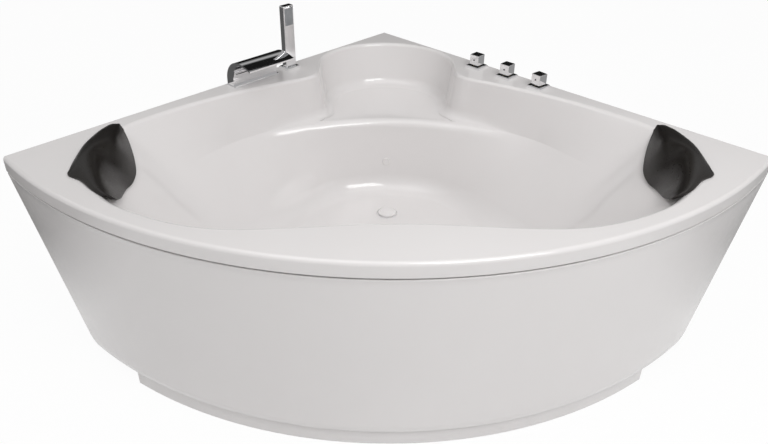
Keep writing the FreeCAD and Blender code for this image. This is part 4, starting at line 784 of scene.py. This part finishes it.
def make_card(name, place, size, turn, grey, around):
    """A dark studio panel that only reflections see; it fades out into what is around it."""
    made, tree, shader = new_material(name, Roughness=1.0, Specular_IOR_Level=0.0,
                                      Base_Color=(0, 0, 0, 1), Emission_Color=(1, 1, 1, 1))
    spot = tree.nodes.new("ShaderNodeTexGradient")
    spot.gradient_type = "SPHERICAL"
    mapping = tree.nodes.new("ShaderNodeMapping")
    mapping.inputs["Scale"].default_value = (2, 2, 2)
    tree.links.new(place_of(tree), mapping.inputs["Vector"])
    tree.links.new(mapping.outputs["Vector"], spot.inputs["Vector"])
    tree.links.new(spread(tree, spot.outputs["Fac"], around, grey, 0.0, CARD_EDGE),
                   shader.inputs["Emission Strength"])
    bpy.ops.mesh.primitive_plane_add(size=1, location=place, rotation=turn)
    card = bpy.context.object
    card.name = name
    card.scale = (*size, 1)
    card.data.materials.append(made)
    card.visible_camera = False
    card.visible_diffuse = False
    card.visible_shadow = False
    card.visible_transmission = False


bpy.context.scene.view_settings.view_transform = "Standard"
make_camera()
make_world()
make_floor()
for lamp in LAMPS:
    area_light(*lamp)
for card in CARDS:
    make_card(*card)

WHITE = acrylic("acrylic", tone=(0.770, 0.750, 0.746), darker=(0.752, 0.732, 0.728), gloss=0.13)
PANEL = acrylic("panel", tone=(0.765, 0.745, 0.741), darker=(0.745, 0.725, 0.721), gloss=0.20)
CHROME = chrome("chrome")
STEEL = plain_metal("steel", tone=(0.66, 0.68, 0.70), darker=(0.50, 0.52, 0.54), rough=0.38)
BRASS = plain_metal("brass", tone=(0.74, 0.56, 0.28), darker=(0.62, 0.44, 0.20), rough=0.32)
BRAID = plain_metal("braid", tone=(0.62, 0.63, 0.65), darker=(0.36, 0.37, 0.38), rough=0.36,
                    scale=900)
BOARD = moulded("board", tone=(0.55, 0.40, 0.24), darker=(0.42, 0.29, 0.16), rough=0.6, grain=300)
PIPE = moulded("pipe", tone=(0.78, 0.78, 0.77), darker=(0.72, 0.72, 0.71), rough=0.4)
SEAL = moulded("seal", tone=(0.03, 0.03, 0.03), darker=(0.02, 0.02, 0.02), rough=0.6)
NYLON = moulded("nylon", tone=(0.05, 0.05, 0.05), darker=(0.035, 0.035, 0.035), rough=0.45)
GREY_HOSE = moulded("grey_hose", tone=(0.42, 0.43, 0.44), darker=(0.36, 0.37, 0.38), rough=0.5)
SPRAY = moulded("spray", tone=(0.30, 0.31, 0.32), darker=(0.25, 0.26, 0.27), rough=0.35)
DOT = moulded("dot", tone=(0.015, 0.015, 0.017), darker=(0.01, 0.01, 0.012), rough=0.2)
CAP = acrylic("cap", tone=(0.79, 0.77, 0.766), darker=(0.77, 0.75, 0.746), gloss=0.2)
PILLOW = moulded("pillow", tone=(0.014, 0.012, 0.010), darker=(0.011, 0.009, 0.008), rough=0.33,
                 grain=700)

VALVES = ("hot", "cold", "diverter")
FEET = [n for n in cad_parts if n.startswith("foot_") and n != "foot_nuts"]
assign(["plinth_strip"], PANEL)
assign(["spout_plate", "spout_hood", "spout_outlet", "shower_holder", "handset", "waste_body"]
       + ["knob_" + n for n in VALVES] + ["valve_plate_" + n for n in VALVES], CHROME)
assign(["index_dot_" + n for n in VALVES], DOT)
assign(["skirt_clips", "frame_tubes", "frame_posts", "foot_nuts", "wall_brackets",
        "peg_washers"] + FEET, STEEL)
assign(["base_board"], BOARD)
assign(["waste_locknut", "trap_body", "trap_union", "outlet_pipe", "overflow_body",
        "riser_cap_nut"], PIPE)
assign(["waste_gasket", "overflow_gasket", "deck_gaskets"], SEAL)
assign(["link_pipes", "spout_shank", "deck_nuts"] + ["valve_body_" + n for n in VALVES], BRASS)
assign(["spout_hose", "shower_feed_hose"], BRAID)
assign(["overflow_hose"], GREY_HOSE)
assign(["riser_cap", "overflow_knob", "waste_plug"], CAP)
assign(["pillow_pegs"] + ["spindle_" + n for n in VALVES], NYLON)
assign(["spray_face"], SPRAY)

make_tub(WHITE)
make_skirt(PANEL)
make_pillow("pillow_left", -1, PILLOW)
make_pillow("pillow_right", 1, PILLOW)
